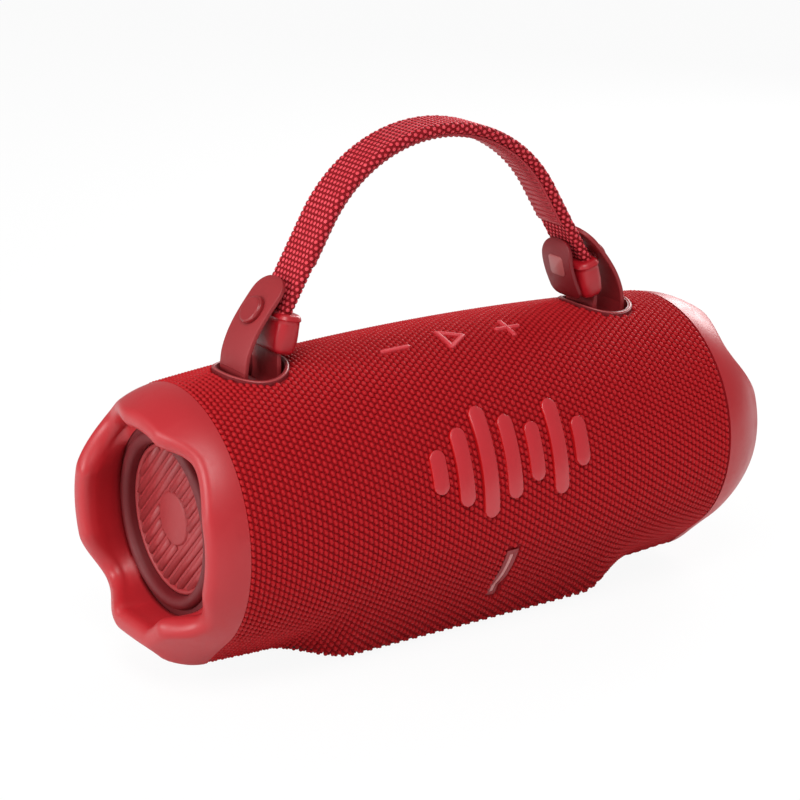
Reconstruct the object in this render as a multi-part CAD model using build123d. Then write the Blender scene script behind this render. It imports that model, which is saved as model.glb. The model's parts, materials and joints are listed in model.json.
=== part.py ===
from build123d import *
import math
import os
from functools import lru_cache

# Portable party speaker. Millimetres. +X runs along the barrel, the front looks along -Y, +Z is up,
# and the origin is the bottom centre of the rubber foot.

# Barrel
BODY_R = 47.0            # outside radius of the knitted sleeve in the middle
SEAM_R = 42.8            # the same radius where the sleeve meets an end ring
SEAM_X = 94.0            # distance of that seam from the middle
AXIS_Z = BODY_R + 4.5    # height of the barrel's axis
FABRIC_T = 1.2           # knitted sleeve
SKIN_GAP = 0.1           # glue line between sleeve and shell
WALL = 2.6               # plastic shell

# Keel under the barrel: distance from the middle, half width and height of its flat underside
KEEL_FOOT_X, KEEL_FOOT_W, KEEL_FOOT_Z = 50.0, 24.0, 1.5
KEEL_NECK_X, KEEL_NECK_W, KEEL_NECK_Z = 72.0, 14.0, 6.3
KEEL_END_W, KEEL_END_Z = 12.0, 6.0
KEEL_BITE = 0.8          # how far the keel's flanks run into the round barrel

# Rubber foot
FOOT_X, FOOT_Y = 92.0, 40.0
FOOT_GROOVES = 5

# End rings
RING_TIP_X = SEAM_X + 20.4                    # tips of the lobes, half of the overall length
RING_LIP_R = 3.8         # radius of the rounded lip
RING_LIP_Y = SEAM_R - 10.6                    # radius at which the lip's bead lies
RING_BORE_R = SEAM_R - 13.2                   # inner wall round the radiator
VALLEY_TOP_X, VALLEY_TOP_R = RING_TIP_X - 11.4, 15.2      # floor and radius of the two upper valleys
VALLEY_LOW_X, VALLEY_LOW_R = RING_TIP_X - 6.8, 19.2      # and of the two lower ones

# Passive radiators
DISC_R = SEAM_R - 18.5
DISC_X = SEAM_X + 1.0    # back face of the diaphragm
DISC_T = 1.4
RIB_W, RIB_H, RIB_PITCH = 1.5, 1.0, 3.6
BOSS_R = 8.5
RUBBER_T = 0.9
ROLL_R = 2.1             # outer radius of the rubber roll
SEAT_X = SEAM_X + 4.0    # where the rubber's flange lies on the frame
FRAME_R = SEAM_R - 4.8
FRAME_BORE_R = SEAM_R - 15.0
FRAME_BACK_X = SEAM_X - 3.0
FRAME_SCREWS = 6
FRAME_SCREW_R = FRAME_R - 3.6
WEIGHT_R, WEIGHT_T = 14.0, 6.0

# Carrying strap
POCKET_X = SEAM_X - 26.0                      # centre of each strap pocket
POCKET_A, POCKET_B = 11.5, 14.0               # half sizes along and across the barrel
POCKET_T = 1.5
POCKET_FLOOR_Z = AXIS_Z + BODY_R - 15.7
POCKET_PROUD = 0.6
BAR_R = 2.0
BAR_Z = POCKET_FLOOR_Z + 7.7
STRAP_W = 16.0
STRAP_T = 5.0            # webbing and grip together
GRIP_T = 1.4
GRIP_W = 12.6
GRIP_RIB_PITCH = 2.2
GRIP_RIB_H = 0.5
ARCH_R = 49.3            # mid-line of the strap over the top
ARCH_Z = BAR_Z + 23.9
ARCH_HALF = 59.5         # degrees from the top to where the straight legs start
LEG_TO_CLIP = 36.9       # along a leg from there to the middle of its clip
GRIP_LEG = 14.0          # how far the grip runs down a leg
CLIP_L, CLIP_W, CLIP_T = 12.6, 21.0, 8.8
CLIP_WALL = 5.6          # clip left beyond the webbing's end
TAB_T, TAB_W = 1.6, 15.5
LOOP_R = 6.7             # outside of the tab's loop round the bar
BAR_PLAY = 0.9           # play between the loop and the underside of the bar
HINGE_Z = BAR_Z + 5.9     # where the outer leaf can fold away
LEAF_TIP = (POCKET_X - 10.5, BAR_Z + 33.5)
LEAF_BULGE = 2.9
SNAP_ANGLE = 35.2        # place of the snap on the leaf's arc, degrees above the horizontal
SNAP_R, SNAP_T = 4.5, 1.5
KEEPER_L, KEEPER_T, KEEPER_W = 19.0, 1.6, 15.0
KEEPER_UP = 3.5          # how far its middle lies above the middle of the clip

# Keys on top
KEY_ANGLE = 15.0         # degrees from the top towards the front
KEY_PITCH = 22.0
KEY_TRAVEL = 0.8
KEY_PLATE_R, KEY_FLANGE_R = 6.8, 8.3
KEY_FLANGE_T = 1.2
KEY_PROUD = 0.7
STROKE = 1.7
MINUS_L, PLUS_L = 11.0, 10.0
PLAY_L, PLAY_H = 8.8, 11.0
KEY_FIT = 0.35
SWITCH_A, SWITCH_H = 6.0, 3.4
BOARD_T = 1.6
KEYBOARD_L, KEYBOARD_W = 78.0, 15.0

# Badge on the front: a row of rounded bars
BADGE_ANGLE = 72.0
BADGE_HEIGHTS = (14.0, 25.0, 36.0, 27.0, 19.0, 31.0, 16.0)
BADGE_BAR_W, BADGE_PITCH = 5.6, 9.2
BADGE_PROUD = 0.9

# Charge light on the front of the keel
LED_X = 2.5
LED_TOP_Z, LED_LOW_Z = 33.6, 13.4
LED_W = 4.5
GUIDE_W, GUIDE_END = 1.4, 1.8
LED_BOARD_W, LED_BOARD_TOP_Z = 6.0, 24.0

# Rear strip with its keys and the charging socket
PANEL_L, PANEL_H = 96.0, 20.0
PANEL_PROUD = 0.4
REAR_KEY_L, REAR_KEY_H = 14.0, 9.0
REAR_KEY_X = (-34.0, -11.0, 12.0)
REAR_KEY_TRAVEL = 0.6
REAR_KEY_FLANGE = 1.5
USB_X = 35.0
USB_W, USB_H, USB_T = 8.94, 3.26, 0.3
USB_DEPTH = 7.3
TONGUE_W, TONGUE_T, TONGUE_L = 6.7, 0.7, 5.2

# Drivers behind the front
BAFFLE_Y, BAFFLE_T = -31.5, 3.0               # back face and thickness
WOOFER_X = -22.0
WOOFER_L, WOOFER_H = 93.0, 53.0
WOOFER_RIM = 4.5
WOOFER_SCREW_X = 20.0
WOOFER_SURROUND = 4.0
CONE_T = 1.4
BASKET_DEPTH = 13.0
BASKET_T = 2.0
COIL_R, COIL_T = 13.0, 0.7
COIL_GAP = 0.5
MAGNET_R, MAGNET_T = 19.0, 9.0
TWEETER_X = 57.0
DOME_R = 10.0
TWEETER_R = 15.0
TWEETER_DEPTH = 14.0
GRILLE_SLOT, GRILLE_PITCH = 3.6, 7.2

# Battery and electronics
CELL_R, CELL_L = 9.2, 65.0
CASE_T = 1.2
BATTERY_Y, BATTERY_Z = 2.4, 20.8
MAIN_L, MAIN_H = 124.0, 34.0
MAIN_Y = 31.0
SINK_L, SINK_H, SINK_T = 34.0, 24.0, 6.0
SINK_FINS = 6
BOSS_X, BOSS_Z = 56.0, 12.0                   # main board's posts, from the middle and from the axis

INNER = FABRIC_T + SKIN_GAP + WALL            # from the sleeve's outside to the shell's inside
AXIS = (0.0, 0.0, AXIS_Z)


def radius_at(x):
    """Outside radius of the sleeve at a distance x from the middle."""
    sag = BODY_R - SEAM_R
    arc_r = (SEAM_X ** 2 + sag ** 2) / (2.0 * sag)
    return BODY_R - arc_r + math.sqrt(arc_r ** 2 - x ** 2)


def barrel(inset):
    """The round barrel, with its skin moved inwards by inset."""
    edge = ThreePointArc((-SEAM_X, SEAM_R - inset), (0, BODY_R - inset), (SEAM_X, SEAM_R - inset))
    close = Polyline((SEAM_X, SEAM_R - inset), (SEAM_X, 0), (-SEAM_X, 0), (-SEAM_X, SEAM_R - inset))
    return Pos(*AXIS) * revolve(make_face(edge + close), Axis.X, 360)


def keel_section(x, half_width, floor_z, inset):
    """Cross-section of the keel, whose flanks lean in from the barrel to a flat underside."""
    reach = radius_at(abs(x)) - KEEL_BITE
    drop = AXIS_Z - floor_z
    lean = math.atan2(drop, half_width) - math.acos(reach / math.hypot(half_width, drop))
    reach -= inset
    foot = (reach - (drop - inset) * math.sin(lean)) / math.cos(lean)
    side, side_z = reach * math.cos(lean), AXIS_Z - reach * math.sin(lean)
    low = floor_z + inset
    wire = Polyline((x, -foot, low), (x, foot, low), (x, side, side_z), (x, -side, side_z), close=True)
    return make_face(wire)


def keel(inset):
    """The keel that carries the foot and runs out towards both ends."""
    half = (
        (KEEL_FOOT_X, KEEL_FOOT_W, KEEL_FOOT_Z),
        (KEEL_NECK_X, KEEL_NECK_W, KEEL_NECK_Z),
        (SEAM_X, KEEL_END_W, KEEL_END_Z),
    )
    rows = [(-x, w, z) for x, w, z in reversed(half)] + list(half)
    return loft([keel_section(x, w, z, inset) for x, w, z in rows], ruled=True)


@lru_cache(maxsize=None)
def body(inset):
    """Barrel and keel together, with their skin moved inwards by inset."""
    return barrel(inset) + keel(inset)


def skin(outer, inner):
    """The layer of the body between two depths under the sleeve's outside."""
    return body(outer) - body(inner)


def radial(angle, x):
    """Plane across the radius that leaves the axis at angle degrees from the top to the front."""
    a = math.radians(angle)
    return Plane(origin=(x, 0, AXIS_Z), x_dir=(1, 0, 0), z_dir=(0, -math.sin(a), math.cos(a)))


def rod(plane, sketch, low, high):
    """Extrude a sketch along a plane's normal between two distances from the plane."""
    return plane * extrude(Pos(0, 0, low) * sketch, high - low)


def cuboid(x0, x1, y0, y1, z0, z1):
    """Box between two corners."""
    return Pos((x0 + x1) / 2, (y0 + y1) / 2, (z0 + z1) / 2) * Box(x1 - x0, y1 - y0, z1 - z0)


def mirrored(shape):
    """The left-hand copy of a piece made for the right-hand end."""
    return mirror(shape, Plane.YZ)


def front_plane(x, y, z):
    """Plane that faces the front, with its first axis along +X and its second along +Z."""
    return Plane(origin=(x, y, z), x_dir=(1, 0, 0), z_dir=(0, -1, 0))


def rear_plane(x, y, z):
    """Plane that faces the rear, with its first axis along -X and its second along +Z."""
    return Plane(origin=(x, y, z), x_dir=(-1, 0, 0), z_dir=(0, 1, 0))


# Symbols of the top keys, drawn with the reader at the front

def minus_sign(grow=0.0):
    return Rectangle(MINUS_L + 2 * grow, STROKE + 2 * grow)


def plus_sign(grow=0.0):
    bar = Rectangle(PLUS_L + 2 * grow, STROKE + 2 * grow)
    return bar + Rot(0, 0, 90) * bar


def play_sign(grow=0.0):
    """Triangle that points along +X, its outline grown on every side."""
    slope = math.atan2(PLAY_H / 2, PLAY_L)
    nose = PLAY_L / 2 + grow / math.sin(slope)
    back = -PLAY_L / 2 - grow
    tall = (nose - back) * math.tan(slope)
    return make_face(Polyline((back, tall), (back, -tall), (nose, 0), close=True))


TOP_KEYS = {
    "minus_key": (-KEY_PITCH, minus_sign),
    "play_key": (0.5, play_sign),
    "plus_key": (KEY_PITCH, plus_sign),
}


def key_levels(x):
    """Distances from the axis of a key's plate top, flange top and flange bottom."""
    outside = radius_at(x)
    plate = outside - FABRIC_T - KEY_PLATE_R ** 2 / (2 * BODY_R) - 0.25
    flange = outside - INNER - KEY_FLANGE_R ** 2 / (2 * (BODY_R - INNER)) - 0.3
    return plate, flange, flange - KEY_FLANGE_T


def top_key(x, sign):
    """A key: the raised symbol on a round plate, kept in by a flange under the shell."""
    plane = radial(KEY_ANGLE, x)
    plate, flange, bottom = key_levels(x)
    symbol = rod(plane, sign(), plate, BODY_R + 5) & barrel(-KEY_PROUD)
    if sign is play_sign:
        middle = rod(plane, play_sign(-STROKE), plate, BODY_R + 5)
        symbol = symbol - (middle - barrel(FABRIC_T * 0.4))
    disc = rod(plane, Circle(KEY_PLATE_R), flange, plate)
    return symbol + disc + rod(plane, Circle(KEY_FLANGE_R), bottom, flange)


def board_level():
    """Distance of the key board's upper face from the axis, square to the board."""
    return min(key_levels(x)[2] for x, _ in TOP_KEYS.values()) - KEY_TRAVEL - 0.1 - SWITCH_H


def key_board():
    top = board_level()
    board = rod(radial(KEY_ANGLE, 0), Rectangle(KEYBOARD_L, KEYBOARD_W), top - BOARD_T, top)
    for x in board_boss_places():
        board -= rod(radial(KEY_ANGLE, x), Circle(1.3), top - 3, top + 1)
    return board


def key_switches():
    top = board_level()
    button = SWITCH_H - 0.5
    pieces = []
    for x, _ in TOP_KEYS.values():
        plane = radial(KEY_ANGLE, x)
        case = rod(plane, Rectangle(SWITCH_A, SWITCH_A), top, top + button)
        pieces.append(case + rod(plane, Circle(1.7), top + button, top + SWITCH_H))
    return Compound(pieces)


def board_boss_places():
    return (-KEYBOARD_L / 2 + 4.0, KEYBOARD_L / 2 - 4.0)


def screw(plane, length):
    """A screw whose head sits on the plane and whose shank runs down from it."""
    head = rod(plane, Circle(2.3), 0, 1.5) - rod(plane, Rectangle(2.4, 0.7), 0.9, 1.6)
    return head + rod(plane, Circle(1.15), -length, 0)


def key_board_screws():
    under = board_level() - BOARD_T
    pieces = []
    for x in board_boss_places():
        plane = radial(KEY_ANGLE, x)
        facing_in = Plane(origin=plane.from_local_coords((0, 0, under)), x_dir=(1, 0, 0), z_dir=-plane.z_dir)
        pieces.append(screw(facing_in, BOARD_T + 4.0))
    return Compound(pieces)


def key_openings():
    """Round holes in the shell for the top keys."""
    return [rod(radial(KEY_ANGLE, x), Circle(KEY_PLATE_R + KEY_FIT), 30, 60) for x, _ in TOP_KEYS.values()]


def board_bosses():
    """Posts inside the shell that the key board is screwed to."""
    top = board_level()
    posts = []
    for x in board_boss_places():
        plane = radial(KEY_ANGLE, x)
        post = rod(plane, Circle(2.6), top, BODY_R) & barrel(INNER - 0.5)
        posts.append(post - rod(plane, Circle(1.2), top - 1, top + 5))
    return posts


# Strap pockets

def pocket_prism(grow):
    """Upright oval prism at the right-hand pocket."""
    oval = Ellipse(POCKET_A + grow, POCKET_B + grow)
    return Pos(POCKET_X, 0, POCKET_FLOOR_Z - POCKET_T) * extrude(oval, 40)


def strap_pocket():
    """Oval cup let into the top, with blind holes for the anchor bar."""
    cup = pocket_prism(0) & barrel(-POCKET_PROUD)
    hollow = Pos(0, 0, POCKET_T) * pocket_prism(-POCKET_T)
    bar = Pos(POCKET_X, 0, BAR_Z) * Rot(90, 0, 0) * Cylinder(BAR_R + 0.03, bar_length() + 0.1)
    return cup - hollow - bar


def bar_length():
    return 2 * (POCKET_B - POCKET_T) + 1.2


def anchor_bar():
    return Pos(POCKET_X, 0, BAR_Z) * Rot(90, 0, 0) * Cylinder(BAR_R, bar_length())


def pocket_openings():
    hole = pocket_prism(0.15)
    return [hole, mirrored(hole)]


# Light, badge and foot

def led_box(width, low, high):
    return cuboid(LED_X - width / 2, LED_X + width / 2, -BODY_R - 5, 0, low, high)


def led_bezel():
    around = led_box(LED_W, LED_LOW_Z, LED_TOP_Z) & skin(-0.3, FABRIC_T)
    return around - led_box(GUIDE_W + 0.1, LED_LOW_Z + GUIDE_END - 0.05, LED_TOP_Z - GUIDE_END + 0.05)


def led_light_guide():
    return led_box(GUIDE_W, LED_LOW_Z + GUIDE_END, LED_TOP_Z - GUIDE_END) & skin(-0.2, INNER + 1.0)


def led_board():
    """Small board that carries the lamps behind the light guide."""
    strip = led_box(LED_BOARD_W, LED_LOW_Z + GUIDE_END, LED_BOARD_TOP_Z)
    return strip & skin(INNER + 1.2, INNER + 2.4)


def front_badge():
    middle = (len(BADGE_HEIGHTS) - 1) / 2
    bars = []
    for i, height in enumerate(BADGE_HEIGHTS):
        plane = radial(BADGE_ANGLE, 0.5 + (i - middle) * BADGE_PITCH)
        outline = Rot(0, 0, 90) * SlotOverall(height, BADGE_BAR_W)
        bar = rod(plane, outline, BODY_R * 0.7, BODY_R + 5) & barrel(-BADGE_PROUD - 0.05)
        bars.append(bar - barrel(-0.05))
    return Compound(bars)


def base_foot():
    """Rubber foot that fills its opening in the sleeve and stands proud, with grooves across."""
    top = KEEL_FOOT_Z + FABRIC_T
    pad = extrude(RectangleRounded(FOOT_X, FOOT_Y, 8.0), top)
    step = FOOT_X / (FOOT_GROOVES + 1)
    for i in range(FOOT_GROOVES):
        x = -FOOT_X / 2 + (i + 1) * step
        pad -= cuboid(x - 0.8, x + 0.8, -FOOT_Y / 2 + 4, FOOT_Y / 2 - 4, -0.1, 0.7)
    return pad


def foot_opening():
    return extrude(RectangleRounded(FOOT_X + 0.4, FOOT_Y + 0.4, 8.2), KEEL_FOOT_Z + FABRIC_T)


# Rear strip

def panel_prism(grow):
    """Rounded block through the rear of the barrel, in the outline of the rear strip."""
    outline = RectangleRounded(PANEL_L + 2 * grow, PANEL_H + 2 * grow, 4.0 + grow)
    return rod(rear_plane(0, 0, AXIS_Z), outline, BODY_R * 0.7, BODY_R + 5)


def rear_key_prism(x, grow, low, high):
    face = RectangleRounded(REAR_KEY_L + 2 * grow, REAR_KEY_H + 2 * grow, 2.5 + max(grow, 0))
    return rod(rear_plane(x, 0, AXIS_Z), face, low, high)


def usb_prism(grow, low, high):
    face = RectangleRounded(USB_W + 2 * grow, USB_H + 2 * grow, (USB_H + 2 * grow) * 0.42)
    return rod(rear_plane(USB_X, 0, AXIS_Z), face, low, high)


def rear_panel():
    strip = (panel_prism(0) & barrel(-PANEL_PROUD)) - barrel(FABRIC_T)
    for x in REAR_KEY_X:
        strip -= rear_key_prism(x, KEY_FIT, 30, 60)
    return strip - usb_prism(0.9, 30, 60)


def rear_key_levels(x):
    """Distances from the axis of a rear key's face, flange front and flange back."""
    outside = radius_at(abs(x) + REAR_KEY_L / 2)
    half = REAR_KEY_H / 2 + REAR_KEY_FLANGE
    front = outside - INNER - half ** 2 / (2 * (SEAM_R - INNER)) - 0.3
    return radius_at(x) + PANEL_PROUD + REAR_KEY_TRAVEL, front, front - KEY_FLANGE_T


def rear_key(x):
    face, front, back = rear_key_levels(x)
    cap = rear_key_prism(x, 0, front, face + 1) & barrel(-PANEL_PROUD - REAR_KEY_TRAVEL - 0.2)
    return cap + rear_key_prism(x, REAR_KEY_FLANGE, back, front)


def rear_key_openings():
    return [rear_key_prism(x, KEY_FIT, 20, 60) for x in REAR_KEY_X]


def rear_switch_face():
    """Distance of the rear switches' plungers from the axis."""
    return min(rear_key_levels(x)[2] for x in REAR_KEY_X) - REAR_KEY_TRAVEL - 0.1


def rear_switches():
    face = rear_switch_face()
    pieces = []
    for x in REAR_KEY_X:
        plane = rear_plane(x, 0, AXIS_Z)
        case = rod(plane, Rectangle(SWITCH_A, SWITCH_A), MAIN_Y + BOARD_T, face - 0.5)
        pieces.append(case + rod(plane, Circle(1.6), face - 0.5, face))
    return Compound(pieces)


def usb_mouth():
    return radius_at(USB_X + USB_W / 2) - FABRIC_T - 1.4


def usb_shell():
    """Metal shell of the socket, closed at its back, with two legs to the board."""
    mouth = usb_mouth()
    can = usb_prism(0, mouth - USB_DEPTH, mouth) - usb_prism(-USB_T, mouth - USB_DEPTH + 0.6, mouth + 1)
    for side in (-1, 1):
        x = USB_X + side * (USB_W / 2 - 0.9)
        can += cuboid(x - 0.5, x + 0.5, MAIN_Y + BOARD_T, mouth - USB_DEPTH, AXIS_Z - 0.6, AXIS_Z + 0.6)
    return can


def usb_tongue():
    back = usb_mouth() - USB_DEPTH + 0.6
    return rod(rear_plane(USB_X, 0, AXIS_Z), Rectangle(TONGUE_W, TONGUE_T), back, back + TONGUE_L)


# Sleeve and shell

def fabric_sleeve():
    """Knitted sleeve, open where keys, pockets, light, foot and rear strip come through."""
    sleeve = skin(0, FABRIC_T)
    for x, sign in TOP_KEYS.values():
        sleeve -= rod(radial(KEY_ANGLE, x), sign(KEY_FIT), 30, 60)
    sleeve -= led_box(LED_W + 0.2, LED_LOW_Z - 0.1, LED_TOP_Z + 0.1)
    sleeve -= panel_prism(0.15)
    sleeve -= foot_opening()
    for hole in pocket_openings():
        sleeve -= hole
    return sleeve


def grille_slots():
    """Upright slots in the shell in front of the two drivers."""
    slots = []
    count = int(WOOFER_L / GRILLE_PITCH / 2)
    places = [(WOOFER_X + i * GRILLE_PITCH, WOOFER_H * 0.55) for i in range(-count, count + 1)]
    places += [(TWEETER_X + i * GRILLE_PITCH, DOME_R * 2) for i in (-1, 0, 1)]
    for x, height in places:
        outline = Rot(0, 0, 90) * SlotOverall(height, GRILLE_SLOT)
        slots.append(rod(front_plane(x, 0, AXIS_Z + 5), outline, 30, 60))
    return slots


def main_shell():
    """Plastic body under the sleeve, with its openings and the posts for the key board."""
    shell = skin(FABRIC_T + SKIN_GAP, INNER)
    for cut in key_openings() + pocket_openings() + rear_key_openings() + grille_slots():
        shell -= cut
    shell -= usb_prism(0.9, 20, 60)
    shell -= led_box(GUIDE_W + 0.3, LED_LOW_Z + GUIDE_END - 0.15, LED_TOP_Z - GUIDE_END + 0.15)
    for post in board_bosses() + main_posts():
        shell += post
    return shell


# End rings and passive radiators, made for the right-hand end

def turned(*points):
    """Turn a closed outline of (distance along the barrel, radius) points about the axis."""
    return Pos(*AXIS) * revolve(make_face(Polyline(*points, close=True)), Axis.X, 360)


def ring_blank():
    """Ring with a rounded lip, before its valleys are cut."""
    lip_x = RING_TIP_X - RING_LIP_R
    start, bead = (SEAM_X, SEAM_R), (lip_x + 0.38 * RING_LIP_R, RING_LIP_Y + 0.925 * RING_LIP_R)
    mid = ((start[0] + bead[0]) / 2 + 0.4, (start[1] + bead[1]) / 2 + 0.9)
    outer = ThreePointArc(start, mid, bead)
    lip = ThreePointArc(bead, (RING_TIP_X, RING_LIP_Y), (lip_x, RING_LIP_Y - RING_LIP_R))
    back = Polyline(
        (lip_x, RING_LIP_Y - RING_LIP_R), (SEAT_X + 1.1, RING_BORE_R), (SEAT_X + 1.1, RING_BORE_R + 1.5),
        (SEAT_X - 0.8, RING_BORE_R + 1.5), (SEAT_X - 0.8, FRAME_R + 0.2), (SEAM_X, FRAME_R + 0.2), start,
    )
    return Pos(*AXIS) * revolve(make_face(outer + lip + back), Axis.X, 360)


def ring_keel():
    """Low ridge that carries the keel's line on under the ring."""
    rows = ((SEAM_X, KEEL_END_W, KEEL_END_Z, SEAM_R), (106.0, 9.0, 9.6, 38.6), (111.5, 7.0, 16.0, 34.5))
    faces = []
    for x, half, low, top_r in rows:
        high = AXIS_Z - top_r + 3.0
        faces.append(make_face(Polyline((x, -half, low), (x, half, low), (x, half + 7, high),
                                        (x, -half - 7, high), close=True)))
    return loft(faces, ruled=True)


def valley(angle, floor_x, cut_r):
    """Round cutter across the ring's rim."""
    plane = radial(angle, floor_x + cut_r)
    return rod(plane, Circle(cut_r), 20, 60)


def ring_screw_planes():
    """Planes on the frame's back at its screws, facing the middle of the barrel."""
    planes = []
    for i in range(FRAME_SCREWS):
        a = math.radians(30 + 360 / FRAME_SCREWS * i)
        y, z = FRAME_SCREW_R * math.cos(a), AXIS_Z + FRAME_SCREW_R * math.sin(a)
        planes.append(Plane(origin=(FRAME_BACK_X, y, z), x_dir=(0, 1, 0), z_dir=(-1, 0, 0)))
    return planes


def end_ring():
    """Rubber bumper with four lobes and four valleys round its rim."""
    ring = ring_blank() + ring_keel()
    for angle in (-45, 45):
        ring -= valley(angle, VALLEY_TOP_X, VALLEY_TOP_R)
        ring -= valley(180 - angle, VALLEY_LOW_X, VALLEY_LOW_R)
    for plane in ring_screw_planes():
        ring -= rod(plane, Circle(1.2), FRAME_BACK_X - SEAT_X - 4.0, 0)
    return ring


def radiator_frame():
    """Frame inside the ring that clamps the rubber's flange."""
    top = SEAT_X - 1.0
    frame = turned(
        (FRAME_BACK_X, FRAME_BORE_R), (SEAT_X, FRAME_BORE_R), (SEAT_X, RING_BORE_R + 1.3),
        (top, RING_BORE_R + 1.3), (top, FRAME_R), (FRAME_BACK_X, FRAME_R),
    )
    for plane in ring_screw_planes():
        frame -= rod(plane, Circle(1.4), -12, 1)
    return frame


def radiator_screws():
    return Compound([screw(plane, SEAT_X - FRAME_BACK_X + 3.0) for plane in ring_screw_planes()])


def radiator_surround():
    """Rubber roll: a flange on the frame, a half roll, and a leg down to the diaphragm."""
    face_x = SEAT_X + RUBBER_T
    leg_r = DISC_R + 0.1
    mid_r = leg_r + ROLL_R
    inner_r = ROLL_R - RUBBER_T
    crest = ThreePointArc((face_x, mid_r + ROLL_R), (face_x + ROLL_R, mid_r), (face_x, leg_r))
    hollow = ThreePointArc((face_x, leg_r + RUBBER_T), (face_x + inner_r, mid_r), (face_x, mid_r + inner_r))
    leg = Polyline((face_x, leg_r), (DISC_X, leg_r), (DISC_X, leg_r + RUBBER_T), (face_x, leg_r + RUBBER_T))
    rim = RING_BORE_R + 1.2
    flange = Polyline((face_x, mid_r + inner_r), (SEAT_X, mid_r + inner_r), (SEAT_X, rim),
                      (face_x, rim), (face_x, mid_r + ROLL_R))
    return Pos(*AXIS) * revolve(make_face(crest + leg + hollow + flange), Axis.X, 360)


def end_plane(x):
    """Plane that faces +X at the barrel's axis, with its first axis along +Y."""
    return Plane(origin=(x, 0, AXIS_Z), x_dir=(0, 1, 0), z_dir=(1, 0, 0))


def radiator_diaphragm():
    """Stiff disc with a raised rim, slanting ribs and a plain round boss."""
    front = DISC_X + DISC_T
    plane = end_plane(0)
    disc = rod(plane, Circle(DISC_R), DISC_X, front)
    rim = rod(plane, Circle(DISC_R) - Circle(DISC_R - 1.4), front, front + RIB_H)
    count = int(DISC_R / RIB_PITCH)
    ribs = [Pos(0, i * RIB_PITCH) * Rectangle(2 * DISC_R, RIB_W) for i in range(-count, count + 1)]
    pattern = Rot(0, 0, 45) * (Sketch() + ribs)
    pattern = (pattern & Circle(DISC_R - 1.4)) - Circle(BOSS_R)
    boss = rod(plane, Circle(BOSS_R), front, front + RIB_H * 0.6)
    return disc + rim + rod(plane, pattern, front, front + RIB_H) + boss


def radiator_weight():
    return rod(end_plane(0), Circle(WEIGHT_R), DISC_X - WEIGHT_T, DISC_X)


# Carrying strap, its right-hand end

def leg_plane():
    """Plane at the top of the right leg: first axis down the leg, normal to the outside."""
    a = math.radians(ARCH_HALF)
    origin = (ARCH_R * math.sin(a), 0, ARCH_Z + ARCH_R * math.cos(a))
    return Plane(origin=origin, x_dir=(math.cos(a), 0, -math.sin(a)), z_dir=(math.sin(a), 0, math.cos(a)))


def leg_box(x0, x1, half_y, z0, z1):
    """Box in the right leg's own directions."""
    return leg_plane() * cuboid(x0, x1, -half_y, half_y, z0, z1)


def strap_run(section, leg):
    """Carry a section over the arch and down both legs by the given length."""
    plane = leg_plane()
    start = Plane(origin=plane.origin, x_dir=(0, 1, 0), z_dir=plane.x_dir)
    face = start * section
    arch = revolve(face, Axis((0, 0, ARCH_Z), (0, -1, 0)), 2 * ARCH_HALF)
    right = extrude(face, leg, dir=plane.x_dir)
    return arch + right + mirrored(right)


def strap_webbing():
    thick = STRAP_T - GRIP_T
    shift = (STRAP_T - thick) / 2
    section = Pos(0, shift) * RectangleRounded(STRAP_W, thick, thick * 0.42)
    return strap_run(section, LEG_TO_CLIP + CLIP_L / 2 - CLIP_WALL)


def strap_grip():
    """Ribbed rubber pad on the underside of the strap."""
    low = STRAP_T / 2
    base = GRIP_T - GRIP_RIB_H
    pad = strap_run(Pos(0, base / 2 + GRIP_RIB_H - low) * Rectangle(GRIP_W, base), GRIP_LEG)
    inner = ARCH_R - low
    count = int(math.radians(ARCH_HALF) * inner / GRIP_RIB_PITCH)
    step = math.degrees(GRIP_RIB_PITCH / inner)
    half_y = GRIP_W / 2 - 0.6
    for i in range(-count, count + 1):
        bar = cuboid(-0.6, 0.6, -half_y, half_y, inner, inner + GRIP_RIB_H + 0.2)
        pad += Pos(0, 0, ARCH_Z) * Rot(0, i * step, 0) * bar
    for i in range(int(GRIP_LEG / GRIP_RIB_PITCH)):
        x = (i + 0.7) * GRIP_RIB_PITCH
        bar = leg_box(x - 0.6, x + 0.6, half_y, -low, -low + GRIP_RIB_H + 0.2)
        pad += bar
        pad += mirrored(bar)
    return pad


def tab_outline():
    """Side view of the strap tab: up from its loop to the clip and to the leaf's hinge."""
    mid_z = loop_z()
    ring = Pos(POCKET_X, mid_z) * (Circle(LOOP_R) - Circle(LOOP_R - TAB_T))
    ring &= Pos(POCKET_X, mid_z - LOOP_R) * Rectangle(2 * LOOP_R + 1, 2 * LOOP_R)
    inner_top = tab_end_z()
    inner = Pos(POCKET_X - LOOP_R + TAB_T / 2, (mid_z + inner_top) / 2) * Rectangle(TAB_T, inner_top - mid_z)
    outer = Pos(POCKET_X + LOOP_R - TAB_T / 2, (mid_z + HINGE_Z) / 2) * Rectangle(TAB_T, HINGE_Z - mid_z)
    return ring + inner + outer


def loop_z():
    """Height of the loop's centre, from the play under the bar."""
    return BAR_Z - BAR_R - BAR_PLAY + LOOP_R - TAB_T


def tab_end_z():
    """Height of the tab's end inside the clip."""
    a = math.radians(ARCH_HALF)
    return leg_plane().origin.Z - (LEG_TO_CLIP + 2.0) * math.sin(a)


def side_view(sketch, half_width):
    """Extrude a side view, drawn in x and height, to both sides of the middle plane."""
    plane = Plane(origin=(0, 0, 0), x_dir=(1, 0, 0), z_dir=(0, -1, 0))
    return plane * extrude(Pos(0, 0, -half_width) * sketch, 2 * half_width)


def strap_tab():
    return side_view(tab_outline(), TAB_W / 2)


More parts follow.
